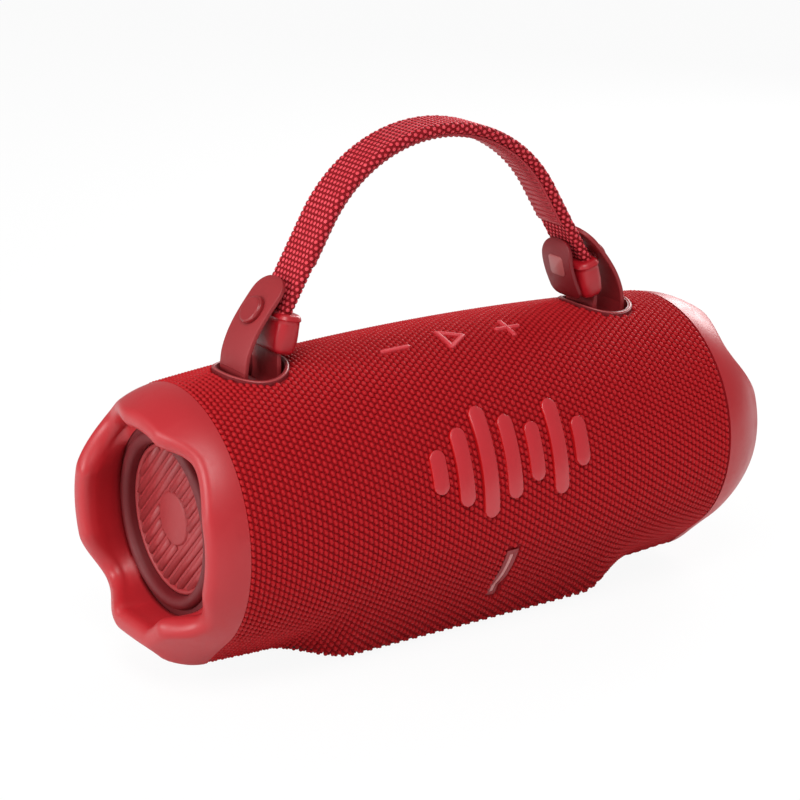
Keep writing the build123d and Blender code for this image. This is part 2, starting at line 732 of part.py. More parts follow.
def leaf_arc():
    """Centre (x, z) and radius of the outer leaf's curve, from hinge to tip."""
    hinge = (POCKET_X + LOOP_R, HINGE_Z)
    dx, dz = LEAF_TIP[0] - hinge[0], LEAF_TIP[1] - hinge[1]
    chord = math.hypot(dx, dz)
    arc_r = (chord ** 2 / 4 + LEAF_BULGE ** 2) / (2 * LEAF_BULGE)
    mid = ((hinge[0] + LEAF_TIP[0]) / 2, (hinge[1] + LEAF_TIP[1]) / 2)
    back = arc_r - LEAF_BULGE
    return (mid[0] - dz / chord * back, mid[1] + dx / chord * back), arc_r


def snap_plane(distance):
    """Plane on the line through the snap, at a distance from the centre of the leaf's curve."""
    (cx, cz), _ = leaf_arc()
    a = math.radians(SNAP_ANGLE)
    origin = (cx + distance * math.cos(a), 0, cz + distance * math.sin(a))
    return Plane(origin=origin, x_dir=(0, 1, 0), z_dir=(math.cos(a), 0, math.sin(a)))


def snap_leaf():
    """Outer leaf of the tab, with a rounded tip, which folds away when the snap is open."""
    (cx, cz), arc_r = leaf_arc()
    band = Pos(cx, cz) * (Circle(arc_r) - Circle(arc_r - TAB_T))
    span = LEAF_TIP[1] + 2 - HINGE_Z
    band &= Pos(LEAF_TIP[0] + 20, HINGE_Z + span / 2) * Rectangle(50, span)
    dx, dz = POCKET_X + LOOP_R - LEAF_TIP[0], HINGE_Z - LEAF_TIP[1]
    chord = math.hypot(dx, dz)
    plane = Plane(origin=(LEAF_TIP[0], 0, LEAF_TIP[1]), x_dir=(dx / chord, 0, dz / chord),
                  z_dir=(-dz / chord, 0, dx / chord))
    outline = Pos(chord, 0) * RectangleRounded(2 * chord, TAB_W, TAB_W * 0.4)
    leaf = side_view(band, TAB_W) & rod(plane, outline, -20, 20)
    return leaf - rod(snap_plane(0), Circle(1.2), arc_r - 5, arc_r + 5)


def snap_cap():
    """Domed cap outside the leaf, on a rivet that passes through it."""
    _, arc_r = leaf_arc()
    plane = snap_plane(arc_r)
    cap = rod(plane, Circle(SNAP_R), 0, SNAP_T)
    cap = fillet(cap.edges().sort_by(Axis(plane.origin, plane.z_dir))[-1], SNAP_T * 0.6)
    return cap + rod(plane, Circle(1.15), -TAB_T - 0.12, 0)


def snap_stud():
    """Male half of the snap, inside the leaf."""
    _, arc_r = leaf_arc()
    plane = snap_plane(arc_r - TAB_T - 0.12)
    return rod(plane, Circle(3.1), -0.5, 0) + rod(plane, Circle(1.7), -1.6, -0.5)


def snap_place():
    """Distance down the right leg at which the snap's line meets the clip's outside."""
    (cx, cz), _ = leaf_arc()
    a = math.radians(SNAP_ANGLE)
    plane = leg_plane()
    near = plane.to_local_coords(Vector(cx, 0, cz))
    far = plane.to_local_coords(Vector(cx + math.cos(a), 0, cz + math.sin(a)))
    share = (CLIP_T / 2 - near.Z) / (far.Z - near.Z)
    return near.X + share * (far.X - near.X)


def snap_socket():
    """Female half of the snap, on the clip."""
    plane = leg_plane()
    ring = Circle(2.9) - Circle(2.35)
    return plane * (Pos(snap_place(), 0, CLIP_T / 2) * extrude(ring, 1.0))


def strap_clip():
    """Moulded sleeve that joins the webbing's end to the tab."""
    x0, x1 = LEG_TO_CLIP - CLIP_L / 2, LEG_TO_CLIP + CLIP_L / 2
    block = cuboid(x0, x1, -CLIP_W / 2, CLIP_W / 2, -CLIP_T / 2, CLIP_T / 2)
    block = fillet(block.edges().filter_by(Axis.X), 3.0)
    block = fillet(block.edges().filter_by(Axis.Y), 0.8)
    thick = STRAP_T - GRIP_T + 0.1
    hole = cuboid(x0 - 1, x1 - CLIP_WALL + 0.05, -STRAP_W / 2 - 0.05, STRAP_W / 2 + 0.05,
                  GRIP_T / 2 - thick / 2, GRIP_T / 2 + thick / 2)
    slot = Pos(POCKET_X - LOOP_R + TAB_T / 2, 0, tab_end_z() - 10 + 0.05) * Box(TAB_T + 0.1, TAB_W + 0.1, 20)
    return leg_plane() * (block - hole) - slot


def strap_keeper():
    """Inner leaf, a rounded plate on the inside of the clip and beside the strap."""
    middle = LEG_TO_CLIP - KEEPER_UP
    plate = cuboid(middle - KEEPER_L / 2, middle + KEEPER_L / 2, -KEEPER_W / 2, KEEPER_W / 2,
                   -CLIP_T / 2 - KEEPER_T, -CLIP_T / 2)
    return leg_plane() * fillet(plate.edges().filter_by(Axis.Z), 3.0)


# Drivers

def racetrack(length, height):
    return SlotOverall(length, height)


def woofer_frontal(sketch, low, high):
    """Extrude a sketch round the woofer's centre, between two distances in front of the axis."""
    return rod(front_plane(WOOFER_X, 0, AXIS_Z), sketch, low, high)


def baffle():
    """Flat wall behind the front that carries both drivers."""
    low, high = -BAFFLE_Y, -BAFFLE_Y + BAFFLE_T
    wall = rod(front_plane(0, 0, AXIS_Z), Rectangle(2 * 84.0, 2 * BODY_R), low, high) & body(INNER + 0.3)
    wall -= woofer_frontal(racetrack(WOOFER_L - 2 * WOOFER_RIM, WOOFER_H - 2 * WOOFER_RIM), 0, 60)
    wall -= led_box(LED_BOARD_W + 1.0, 0, LED_BOARD_TOP_Z + 1.0)
    wall -= led_box(GUIDE_W + 0.6, 0, LED_TOP_Z - GUIDE_END + 0.3)
    return wall - rod(front_plane(TWEETER_X, 0, AXIS_Z), Circle(DOME_R + 1.0), 0, 60)


def woofer_frame():
    """Basket: flange, walls with windows and a back plate with a hole for the magnet."""
    front = -BAFFLE_Y
    flange = woofer_frontal(racetrack(WOOFER_L, WOOFER_H), front - BASKET_T, front)
    inside = racetrack(WOOFER_L - 2 * WOOFER_RIM, WOOFER_H - 2 * WOOFER_RIM)
    outside = racetrack(WOOFER_L - 2 * WOOFER_RIM + 2 * BASKET_T, WOOFER_H - 2 * WOOFER_RIM + 2 * BASKET_T)
    cup = woofer_frontal(outside, front - BASKET_DEPTH, front)
    hollow = woofer_frontal(inside, front - BASKET_DEPTH + BASKET_T, front + 1)
    basket = flange + cup - hollow
    for x in (-WOOFER_SCREW_X, WOOFER_SCREW_X):
        window = Pos(x, 0) * Rectangle(22, 2 * WOOFER_H)
        basket -= woofer_frontal(window, front - BASKET_DEPTH + 4, front - BASKET_T)
    return basket - woofer_frontal(Circle(COIL_R + COIL_T + COIL_GAP), 0, front)


def woofer_back():
    """Distance in front of the axis of the basket's back face."""
    return -BAFFLE_Y - BASKET_DEPTH


def woofer_cone():
    """Flat racetrack diaphragm with the neck that carries the voice coil."""
    front = -BAFFLE_Y - 2.0
    reach = 2 * (WOOFER_RIM + WOOFER_SURROUND)
    plate = woofer_frontal(racetrack(WOOFER_L - reach, WOOFER_H - reach), front - CONE_T, front)
    plate -= woofer_frontal(Circle(COIL_R), 0, front + 1)
    neck = Circle(COIL_R + COIL_T * 0.5) - Circle(COIL_R)
    return plate + woofer_frontal(neck, woofer_back() - 3.0, front - CONE_T)


def woofer_coil():
    """Copper winding on the neck."""
    low = woofer_back() - 3.0
    return woofer_frontal(Circle(COIL_R + COIL_T) - Circle(COIL_R + COIL_T * 0.5), low, low + 7.0)


def woofer_dust_cap():
    front = -BAFFLE_Y - 2.0
    dome_r = 26.0
    cap = Pos(0, 0, front + 4.0 - dome_r) * Sphere(dome_r)
    cap &= Pos(0, 0, front + 10) * Cylinder(COIL_R + 4.0, 20)
    return front_plane(WOOFER_X, 0, AXIS_Z) * cap


def woofer_surround():
    """Rubber edge between the diaphragm and the basket's flange."""
    front = -BAFFLE_Y - 2.0
    reach = 2 * (WOOFER_RIM + WOOFER_SURROUND)
    outer = racetrack(WOOFER_L - 2 * WOOFER_RIM - 0.1, WOOFER_H - 2 * WOOFER_RIM - 0.1)
    inner = racetrack(WOOFER_L - reach + 0.1, WOOFER_H - reach + 0.1)
    return woofer_frontal(outer - inner, front - CONE_T, front)


def woofer_magnet():
    """Ring magnet with its front plate, seated on the basket's back."""
    back = woofer_back()
    ring = Circle(MAGNET_R) - Circle(COIL_R + COIL_T + COIL_GAP)
    return woofer_frontal(ring, back - MAGNET_T, back)


def woofer_pole():
    """Back plate and centre pole of the magnet."""
    back = woofer_back() - MAGNET_T
    plate = woofer_frontal(Circle(MAGNET_R), back - 3.0, back)
    return plate + woofer_frontal(Circle(COIL_R - COIL_GAP), back, woofer_back())


def driver_screws():
    """Screws through both drivers' flanges into the baffle."""
    pieces = []
    for sx in (-1, 1):
        for sz in (-1, 1):
            at = (WOOFER_X + sx * WOOFER_SCREW_X, BAFFLE_Y + BASKET_T, AXIS_Z + sz * (WOOFER_H / 2 - 2.2))
            pieces.append(screw(Plane(origin=at, x_dir=(1, 0, 0), z_dir=(0, 1, 0)), BASKET_T + 2.2))
    return Compound(pieces)


def driver_screw_holes(radius):
    holes = []
    for sx in (-1, 1):
        for sz in (-1, 1):
            at = (WOOFER_X + sx * WOOFER_SCREW_X, BAFFLE_Y + BASKET_T, AXIS_Z + sz * (WOOFER_H / 2 - 2.2))
            plane = Plane(origin=at, x_dir=(1, 0, 0), z_dir=(0, 1, 0))
            holes.append(rod(plane, Circle(radius), -BASKET_T - 2.3, 3.0))
    return holes


def tweeter_frontal(sketch, low, high):
    return rod(front_plane(TWEETER_X, 0, AXIS_Z), sketch, low, high)


def tweeter_body():
    """Tweeter can with its flange against the baffle and a well for the dome."""
    front = -BAFFLE_Y
    can = tweeter_frontal(Circle(TWEETER_R), front - 2.0, front)
    can += tweeter_frontal(Circle(TWEETER_R - 2.5), front - TWEETER_DEPTH, front - 2.0)
    return can - tweeter_frontal(Circle(DOME_R + 0.6), front - 3.0, front + 1)


def tweeter_dome():
    """Soft dome with a short skirt."""
    base = -BAFFLE_Y - 2.4
    dome_r = 14.0
    cap = Pos(0, 0, base + 4.2 - dome_r) * Sphere(dome_r)
    cap &= Pos(0, 0, base + 10) * Cylinder(DOME_R, 20)
    return front_plane(TWEETER_X, 0, AXIS_Z) * cap


# Battery and electronics

def battery_case():
    """Tray with a cell in each half, closed at its ends, standing on the keel."""
    length = CELL_L + 2 * CASE_T + 0.6
    height = 2 * (CELL_R + CASE_T) + 0.4
    width = 4 * CELL_R + 3 * CASE_T + 0.8
    tray = Pos(0, BATTERY_Y, BATTERY_Z) * Box(length, width, height)
    for y in cell_rows():
        tray -= Pos(0, y, BATTERY_Z) * Rot(0, 90, 0) * Cylinder(CELL_R + 0.2, CELL_L + 0.6)
    return tray


def cell_rows():
    half = CELL_R + 0.2 + CASE_T / 2
    return (BATTERY_Y - half, BATTERY_Y + half)


def battery_cells():
    return Compound([Pos(0, y, BATTERY_Z) * Rot(0, 90, 0) * Cylinder(CELL_R, CELL_L) for y in cell_rows()])


def battery_cradle():
    """Two saddles that carry the battery case on the floor of the keel."""
    low = BATTERY_Z - CELL_R - CASE_T - 0.2
    width = 4 * CELL_R + 3 * CASE_T + 0.8
    saddles = []
    for x in (-22.0, 22.0):
        block = cuboid(x - 5, x + 5, BATTERY_Y - width / 2, BATTERY_Y + width / 2, 0, low - 0.05)
        saddles.append(block & body(INNER + 0.1))
    return Compound(saddles)


def main_board():
    board = cuboid(-MAIN_L / 2, MAIN_L / 2, MAIN_Y, MAIN_Y + BOARD_T, AXIS_Z - MAIN_H / 2, AXIS_Z + MAIN_H / 2)
    for x in (-BOSS_X, BOSS_X):
        for z in (-BOSS_Z, BOSS_Z):
            board -= rod(rear_plane(x, 0, AXIS_Z + z), Circle(1.3), MAIN_Y - 1, MAIN_Y + BOARD_T + 1)
    return board & barrel(INNER + 0.3)


def main_posts():
    """Posts inside the shell's rear wall that the main board is screwed to."""
    posts = []
    for x in (-BOSS_X, BOSS_X):
        for z in (-BOSS_Z, BOSS_Z):
            plane = rear_plane(x, 0, AXIS_Z + z)
            post = rod(plane, Circle(2.6), MAIN_Y + BOARD_T, BODY_R) & barrel(INNER - 0.5)
            posts.append(post - rod(plane, Circle(1.2), MAIN_Y, MAIN_Y + BOARD_T + 3.6))
    return posts


def main_board_screws():
    pieces = []
    for x in (-BOSS_X, BOSS_X):
        for z in (-BOSS_Z, BOSS_Z):
            plane = Plane(origin=(x, MAIN_Y, AXIS_Z + z), x_dir=(1, 0, 0), z_dir=(0, -1, 0))
            pieces.append(screw(plane, BOARD_T + 3.2))
    return Compound(pieces)


def board_parts():
    """Chips, coils and capacitors on the inner face of the main board."""
    pieces = []
    for x, z, a, b, t in ((-40, 6, 10, 10, 1.2), (-20, 8, 7, 7, 1.0), (-34, -9, 9, 6, 1.4), (42, 8, 8, 8, 4.0)):
        pieces.append(cuboid(x - a / 2, x + a / 2, MAIN_Y - t, MAIN_Y, AXIS_Z + z - b / 2, AXIS_Z + z + b / 2))
    for x, z in ((40, -9), (48, -9), (-50, 0)):
        pieces.append(Pos(x, MAIN_Y - 4.5, AXIS_Z + z) * Rot(90, 0, 0) * Cylinder(3.2, 9.0))
    return Compound(pieces)


def heat_sink():
    """Finned plate on the inner face of the main board."""
    base = cuboid(-SINK_L / 2 + 12, SINK_L / 2 + 12, MAIN_Y - 1.5, MAIN_Y,
                  AXIS_Z - SINK_H / 2 + 3, AXIS_Z + SINK_H / 2 + 3)
    step = (SINK_L - 1.4) / (SINK_FINS - 1)
    for i in range(SINK_FINS):
        x = 12 - SINK_L / 2 + 0.7 + i * step
        base += cuboid(x - 0.7, x + 0.7, MAIN_Y - SINK_T, MAIN_Y - 1.5,
                       AXIS_Z - SINK_H / 2 + 3, AXIS_Z + SINK_H / 2 + 3)
    return base


def snap_rivet():
    """Cap and male half of the snap, which move with the leaf."""
    return joined(snap_cap(), snap_stud())


def joined(*shapes):
    """Several loose solids kept together in one piece."""
    return Compound([solid for shape in shapes for solid in shape.solids()])


def drilled(shape, holes):
    for hole in holes:
        shape -= hole
    return shape


def make_pieces():
    """All pieces by node name."""
    pieces = {
        "fabric_sleeve": fabric_sleeve(),
        "main_shell": main_shell(),
        "base_foot": base_foot(),
        "front_badge": front_badge(),
        "led_bezel": led_bezel(),
        "led_light_guide": led_light_guide(),
        "led_board": led_board(),
        "key_board": key_board(),
        "switches": joined(key_switches(), rear_switches()),
        "inner_screws": joined(key_board_screws(), main_board_screws(), driver_screws()),
        "rear_panel": rear_panel(),
        "usb_shell": usb_shell(),
        "usb_tongue": usb_tongue(),
        "strap_webbing": strap_webbing(),
        "strap_grip": strap_grip(),
        "baffle": drilled(baffle(), driver_screw_holes(1.15)),
        "woofer_frame": drilled(woofer_frame(), driver_screw_holes(1.3)),
        "woofer_magnet": woofer_magnet(),
        "woofer_pole": woofer_pole(),
        "woofer_cone": woofer_cone(),
        "woofer_coil": woofer_coil(),
        "woofer_dust_cap": woofer_dust_cap(),
        "woofer_surround": woofer_surround(),
        "tweeter_body": tweeter_body(),
        "tweeter_dome": tweeter_dome(),
        "battery_case": battery_case(),
        "battery_cells": battery_cells(),
        "battery_cradle": battery_cradle(),
        "main_board": main_board(),
        "board_parts": board_parts(),
        "heat_sink": heat_sink(),
    }
    for name, (x, sign) in TOP_KEYS.items():
        pieces[name] = top_key(x, sign)
    for name, x in zip(("power_key", "pair_key", "link_key"), REAR_KEY_X):
        pieces[name] = rear_key(x)
    both_ends = {
        "end_ring": end_ring,
        "radiator_surround": radiator_surround,
        "radiator_diaphragm": radiator_diaphragm,
        "radiator_weight": radiator_weight,
        "strap_pocket": strap_pocket,
        "strap_clip": strap_clip,
        "strap_tab": strap_tab,
        "snap_leaf": snap_leaf,
        "snap_rivet": snap_rivet,
    }
    for name, maker in both_ends.items():
        right = maker()
        pieces[name + "_right"] = right
        pieces[name + "_left"] = mirrored(right)
    pieces["radiator_diaphragm_left"] = Rot(0, 0, 180) * pieces["radiator_diaphragm_right"]
    paired = {
        "radiator_frames": radiator_frame(),
        "radiator_screws": radiator_screws(),
        "anchor_bars": anchor_bar(),
        "strap_keepers": strap_keeper(),
        "snap_sockets": snap_socket(),
    }
    for name, right in paired.items():
        pieces[name] = joined(right, mirrored(right))
    return pieces


os.makedirs("parts", exist_ok=True)
for node, piece in make_pieces().items():
    export_step(piece, f"parts/{node}.step")
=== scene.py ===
"""Looks of a portable party speaker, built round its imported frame.

Lengths in the dataclasses are millimetres. Meshes are written in metres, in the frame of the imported
model: +X along the barrel, the front faces -Y, +Z up, and the foot stands on z = 0.
"""

from __future__ import annotations

import json
import logging
import math
from dataclasses import dataclass
from enum import Enum
from functools import lru_cache
from typing import Any, ClassVar, Iterable, Sequence

import bmesh
import bpy
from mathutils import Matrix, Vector

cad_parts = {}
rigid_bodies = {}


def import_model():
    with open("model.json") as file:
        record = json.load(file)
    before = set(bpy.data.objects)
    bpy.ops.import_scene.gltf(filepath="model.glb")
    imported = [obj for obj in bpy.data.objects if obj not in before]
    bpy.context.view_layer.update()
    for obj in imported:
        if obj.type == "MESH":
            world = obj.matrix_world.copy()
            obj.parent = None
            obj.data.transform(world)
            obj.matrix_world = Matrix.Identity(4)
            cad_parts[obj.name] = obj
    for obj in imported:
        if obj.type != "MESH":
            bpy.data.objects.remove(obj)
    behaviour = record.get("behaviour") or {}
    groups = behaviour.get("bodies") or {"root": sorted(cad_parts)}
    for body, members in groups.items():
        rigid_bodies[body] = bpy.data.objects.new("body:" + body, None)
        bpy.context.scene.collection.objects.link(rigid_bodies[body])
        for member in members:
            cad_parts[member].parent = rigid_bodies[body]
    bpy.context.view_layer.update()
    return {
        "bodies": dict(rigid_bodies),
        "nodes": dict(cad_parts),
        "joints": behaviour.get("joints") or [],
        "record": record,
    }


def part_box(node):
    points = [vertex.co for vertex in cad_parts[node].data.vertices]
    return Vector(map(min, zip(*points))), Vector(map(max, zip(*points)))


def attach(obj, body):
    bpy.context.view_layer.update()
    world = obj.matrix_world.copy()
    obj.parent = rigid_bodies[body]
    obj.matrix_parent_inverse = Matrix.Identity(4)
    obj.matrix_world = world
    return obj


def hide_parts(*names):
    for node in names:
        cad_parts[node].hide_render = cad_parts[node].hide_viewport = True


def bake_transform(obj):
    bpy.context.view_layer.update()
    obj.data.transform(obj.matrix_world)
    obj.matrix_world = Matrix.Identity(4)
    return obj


MM = 0.001
LOG = logging.getLogger("speaker")
Point = tuple[float, float, float]


# ---------------------------------------------------------------- small helpers


def linear(red: int, green: int, blue: int) -> tuple[float, float, float, float]:
    """Turn a colour as it shows, 0 to 255 a channel, into scene-linear values.

    Args:
        red: the red channel.
        green: the green channel.
        blue: the blue channel.

    Returns:
        The colour with full alpha.
    """
    def one(value: int) -> float:
        v = value / 255.0
        return v / 12.92 if v <= 0.04045 else ((v + 0.055) / 1.055) ** 2.4
    return one(red), one(green), one(blue), 1.0


def ease(value: float, low: float, high: float) -> float:
    """Go smoothly from 0 at low to 1 at high."""
    t = min(1.0, max(0.0, (value - low) / (high - low)))
    return t * t * (3.0 - 2.0 * t)


def mix(a: float, b: float, share: float) -> float:
    """Blend two numbers."""
    return a + (b - a) * share


def circle(count: int) -> list[tuple[float, float]]:
    """Cosine and sine at even steps of one turn."""
    turns = (2 * math.pi * k / count for k in range(count))
    return [(math.cos(a), math.sin(a)) for a in turns]


def link(name: str, data: Any) -> bpy.types.Object:
    """Make an object of the data and link it to the scene."""
    made = bpy.data.objects.new(name, data)
    bpy.context.scene.collection.objects.link(made)
    return made


@lru_cache(maxsize=None)
def box_mm(node: str) -> tuple[Point, Point]:
    """Lowest and highest corner of a CAD node, in millimetres."""
    low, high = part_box(node)
    return tuple(v / MM for v in low), tuple(v / MM for v in high)


def pocket_mm(end: "End") -> tuple[float, float, float]:
    """Middle along the barrel and the two half sizes of a strap pocket, in millimetres."""
    low, high = box_mm("strap_pocket_" + end.word)
    return (low[0] + high[0]) / 2, (high[0] - low[0]) / 2, (high[1] - low[1]) / 2


class End(Enum):
    """The two ends of the barrel, with the sign of x there."""

    LEFT = -1
    RIGHT = 1

    @property
    def word(self) -> str:
        """The word that node and body names use for this end."""
        return self.name.lower()


# ---------------------------------------------------------------- shader maths


class Wire:
    """A shader socket that Python's operators turn into Math nodes."""

    def __init__(self, shader: "Shader", socket: bpy.types.NodeSocket) -> None:
        """Keep the socket and the shader that owns it."""
        self.shader = shader
        self.socket = socket

    def math(self, operation: str, *values: Any) -> "Wire":
        """Add a Math node that works on this wire and the given values."""
        inputs = {i: v for i, v in enumerate((self, *values))}
        return self.shader.node("ShaderNodeMath", {"operation": operation}, inputs)

    def __add__(self, other: Any) -> "Wire":
        """Sum."""
        return self.math("ADD", other)

    __radd__ = __add__

    def __mul__(self, other: Any) -> "Wire":
        """Product."""
        return self.math("MULTIPLY", other)

    def __sub__(self, other: Any) -> "Wire":
        """Difference."""
        return self.math("SUBTRACT", other)

    def __rsub__(self, other: Any) -> "Wire":
        """Difference the other way round."""
        return self.shader.node("ShaderNodeMath", {"operation": "SUBTRACT"}, {0: other, 1: self})

    def wave(self) -> "Wire":
        """Sine of the wire, in radians."""
        return self.math("SINE")

    def step(self, low: float, high: float) -> "Wire":
        """Go smoothly from 0 at low to 1 at high."""
        settings = {"interpolation_type": "SMOOTHSTEP"}
        return self.shader.node("ShaderNodeMapRange", settings, {0: self, 1: low, 2: high, 3: 0.0, 4: 1.0})


class Shader:
    """Builds one node material."""

    def __init__(self, name: str) -> None:
        """Start an empty material."""
        self.material = bpy.data.materials.new(name)
        self.material.use_nodes = True
        self.tree = self.material.node_tree
        self.tree.nodes.clear()

    def node(self, kind: str, settings: dict[str, Any] | None = None,
             inputs: dict[Any, Any] | None = None, output: Any = 0) -> Wire:
        """Add a node.

        Args:
            kind: the node's type.
            settings: its properties, set before its sockets.
            inputs: values or wires by socket name or number.
            output: the name or number of the socket that is returned.

        Returns:
            The wire of the chosen output.
        """
        made = self.tree.nodes.new(kind)
        for key, value in (settings or {}).items():
            setattr(made, key, value)
        for key, value in (inputs or {}).items():
            if isinstance(value, Wire):
                self.tree.links.new(value.socket, made.inputs[key])
            else:
                made.inputs[key].default_value = value
        return Wire(self, made.outputs[output])

    def places(self) -> Wire:
        """Object coordinates."""
        return self.node("ShaderNodeTexCoord", output="Object")

    def attribute(self, name: str) -> Wire:
        """A number stored on the mesh."""
        return self.node("ShaderNodeAttribute", {"attribute_name": name}, output="Fac")

    def axis(self, letter: str) -> Wire:
        """One of the object coordinates, in metres."""
        return self.node("ShaderNodeSeparateXYZ", inputs={0: self.places()}, output=letter)

    def noise(self, per_metre: float, detail: float = 3.0, rough: float = 0.55) -> Wire:
        """Fine noise with its grain given as a scale per metre."""
        inputs = {"Vector": self.places(), "Scale": per_metre, "Detail": detail, "Roughness": rough}
        return self.node("ShaderNodeTexNoise", inputs=inputs, output=0)

    def colours(self, share: Wire, first: Any, second: Any) -> Wire:
        """Blend two colours."""
        return self.node("ShaderNodeMix", {"data_type": "RGBA"}, {0: share, 6: first, 7: second}, output=2)

    def bump(self, height: Wire, strength: float, distance_mm: float) -> Wire:
        """Turn a height into a normal."""
        inputs = {"Height": height, "Strength": strength, "Distance": distance_mm * MM}
        return self.node("ShaderNodeBump", inputs=inputs, output="Normal")

    def finish(self, **sockets: Any) -> bpy.types.Material:
        """Close the material with one Principled shader, whose sockets are given by name.

        Args:
            sockets: values or wires by socket name, with _ for a space.

        Returns:
            The material.
        """
        inputs = {key.replace("_", " "): value for key, value in sockets.items()}
        surface = self.node("ShaderNodeBsdfPrincipled", inputs=inputs)
        self.node_output(surface)
        return self.material

    def node_output(self, surface: Wire) -> None:
        """Connect the surface to the material's output."""
        out = self.tree.nodes.new("ShaderNodeOutputMaterial")
        self.tree.links.new(surface.socket, out.inputs["Surface"])


# ---------------------------------------------------------------- finishes


@dataclass(frozen=True)
class Finish:
    """What every finish knows: its name, its main colour and how rough it is."""

    name: str
    colour: tuple[float, float, float, float]
    roughness: float = 0.5

    def make(self) -> bpy.types.Material:
        """Build the material."""
        raise NotImplementedError


@dataclass(frozen=True)
class KnitBead(Finish):
    """Yarn crowns of the knit: painted shade darkens each bead at its foot and a painted highlight brightens
    its top, which is slightly furry.
    """

    # shade is the colour of the painted shade at each bead's foot
    shade: tuple[float, float, float, float] = linear(172, 6, 18)
    fibres_per_metre: float = 5200.0
    # foot and crown: bead heights over which painted shade turns into painted highlight
    foot: float = -0.05
    crown: float = 0.85

    def make(self) -> bpy.types.Material:
        """Build the material.

        Returns:
            The material.
        """
        s = Shader(self.name)
        # height: share of painted highlight, 0 at the bead's foot and 1 at its crown
        height = s.attribute("crown").step(self.foot, self.crown)
        tone = s.attribute("tone")
        fibre = s.noise(self.fibres_per_metre, 2.0)
        broad = s.noise(60.0, 2.0)
        light = s.colours(tone * 0.30 + broad * 0.12, self.colour, linear(255, 104, 116))
        # painted shade at each bead's foot, painted highlight on its crown
        colour = s.colours(height * (0.86 + fibre * 0.22), self.shade, light)
        rough = self.roughness + fibre * 0.16
        return s.finish(Base_Color=colour, Roughness=rough, Normal=s.bump(fibre, 0.35, 0.06),
                        Specular_IOR_Level=0.25)


@dataclass(frozen=True)
class Cloth(Finish):
    """Flat woven or knitted ground, with crossing threads of a given pitch."""

    shade: tuple[float, float, float, float] = linear(80, 4, 10)
    pitch_mm: float = 1.0

    def make(self) -> bpy.types.Material:
        """Build the material.

        Returns:
            The material.
        """
        s = Shader(self.name)
        turn = 2.0 * math.pi / (self.pitch_mm * MM)
        threads = (s.axis("X") * turn).wave() * ((s.axis("Z") + s.axis("Y")) * turn).wave()
        weave = threads * 0.5 + 0.5
        fuzz = s.noise(3500.0, 2.0)
        colour = s.colours(weave * 0.75 + fuzz * 0.25, self.shade, self.colour)
        return s.finish(Base_Color=colour, Roughness=self.roughness + fuzz * 0.1,
                        Normal=s.bump(weave + fuzz * 0.4, 0.5, 0.15), Specular_IOR_Level=0.2)


@dataclass(frozen=True)
class Moulded(Finish):
    """Moulded rubber or plastic with a fine grain, faint mottling and slightly polished high spots."""

    grain_per_metre: float = 2600.0
    grain_mm: float = 0.02
    mottle: float = 0.12
    coat: float = 0.0
    specular: float = 0.5

    def make(self) -> bpy.types.Material:
        """Build the material.

        Returns:
            The material.
        """
        s = Shader(self.name)
        grain = s.noise(self.grain_per_metre, 3.0)
        cloud = s.noise(45.0, 4.0)
        smudge = s.noise(160.0, 3.0, 0.7).step(0.45, 0.75)
        darker = tuple(c * 0.80 for c in self.colour[:3]) + (1.0,)
        colour = s.colours(cloud * self.mottle * 4.0 + grain * 0.1, self.colour, darker)
        rough = self.roughness + smudge * 0.08 + (grain - 0.5) * 0.10
        return s.finish(Base_Color=colour, Roughness=rough, Normal=s.bump(grain, 0.45, self.grain_mm),
                        Coat_Weight=self.coat, Coat_Roughness=0.12, Specular_IOR_Level=self.specular)


@dataclass(frozen=True)
class Metal(Finish):
    """Plated, turned or drawn metal with fine lines and small stains."""

    line_per_metre: float = 1800.0

    def make(self) -> bpy.types.Material:
        """Build the material.

        Returns:
            The material.
        """
        s = Shader(self.name)
        lines = (s.axis("Z") * self.line_per_metre * 2.0 + s.noise(300.0) * 6.0).wave() * 0.5 + 0.5
        stain = s.noise(120.0, 4.0).step(0.5, 0.8)
        dull = tuple(c * 0.7 for c in self.colour[:3]) + (1.0,)
        colour = s.colours(stain * 0.5 + lines * 0.1, self.colour, dull)
        rough = self.roughness + stain * 0.15 + lines * 0.05
        return s.finish(Base_Color=colour, Metallic=1.0, Roughness=rough, Normal=s.bump(lines, 0.15, 0.01))


@dataclass(frozen=True)
class Board(Finish):
    """Lacquered circuit board with copper tracks under the lacquer."""

    track: tuple[float, float, float, float] = linear(70, 120, 60)
    pitch_mm: float = 2.2

    def make(self) -> bpy.types.Material:
        """Build the material.

        Returns:
            The material.
        """
        s = Shader(self.name)
        cells = s.node("ShaderNodeTexVoronoi", {"feature": "DISTANCE_TO_EDGE"},
                       {"Vector": s.places(), "Scale": 1.0 / (self.pitch_mm * MM)}, output="Distance")
        track = 1.0 - cells.step(0.03, 0.08)
        grain = s.noise(900.0, 2.0)
        colour = s.colours(track * 0.8 + grain * 0.08, self.colour, self.track)
        return s.finish(Base_Color=colour, Roughness=self.roughness + grain * 0.1,
                        Normal=s.bump(track, 0.2, 0.03), Coat_Weight=0.4, Coat_Roughness=0.2)


@dataclass(frozen=True)
class Wound(Finish):
    """Copper wire laid turn beside turn."""

    pitch_mm: float = 0.35

    def make(self) -> bpy.types.Material:
        """Build the material.

        Returns:
            The material.
        """
        s = Shader(self.name)
        turns = (s.axis("Y") * (2.0 * math.pi / (self.pitch_mm * MM))).wave() * 0.5 + 0.5
        dark = tuple(c * 0.35 for c in self.colour[:3]) + (1.0,)
        return s.finish(Base_Color=s.colours(turns, dark, self.colour), Metallic=0.9,
                        Roughness=self.roughness, Normal=s.bump(turns, 0.6, 0.08))


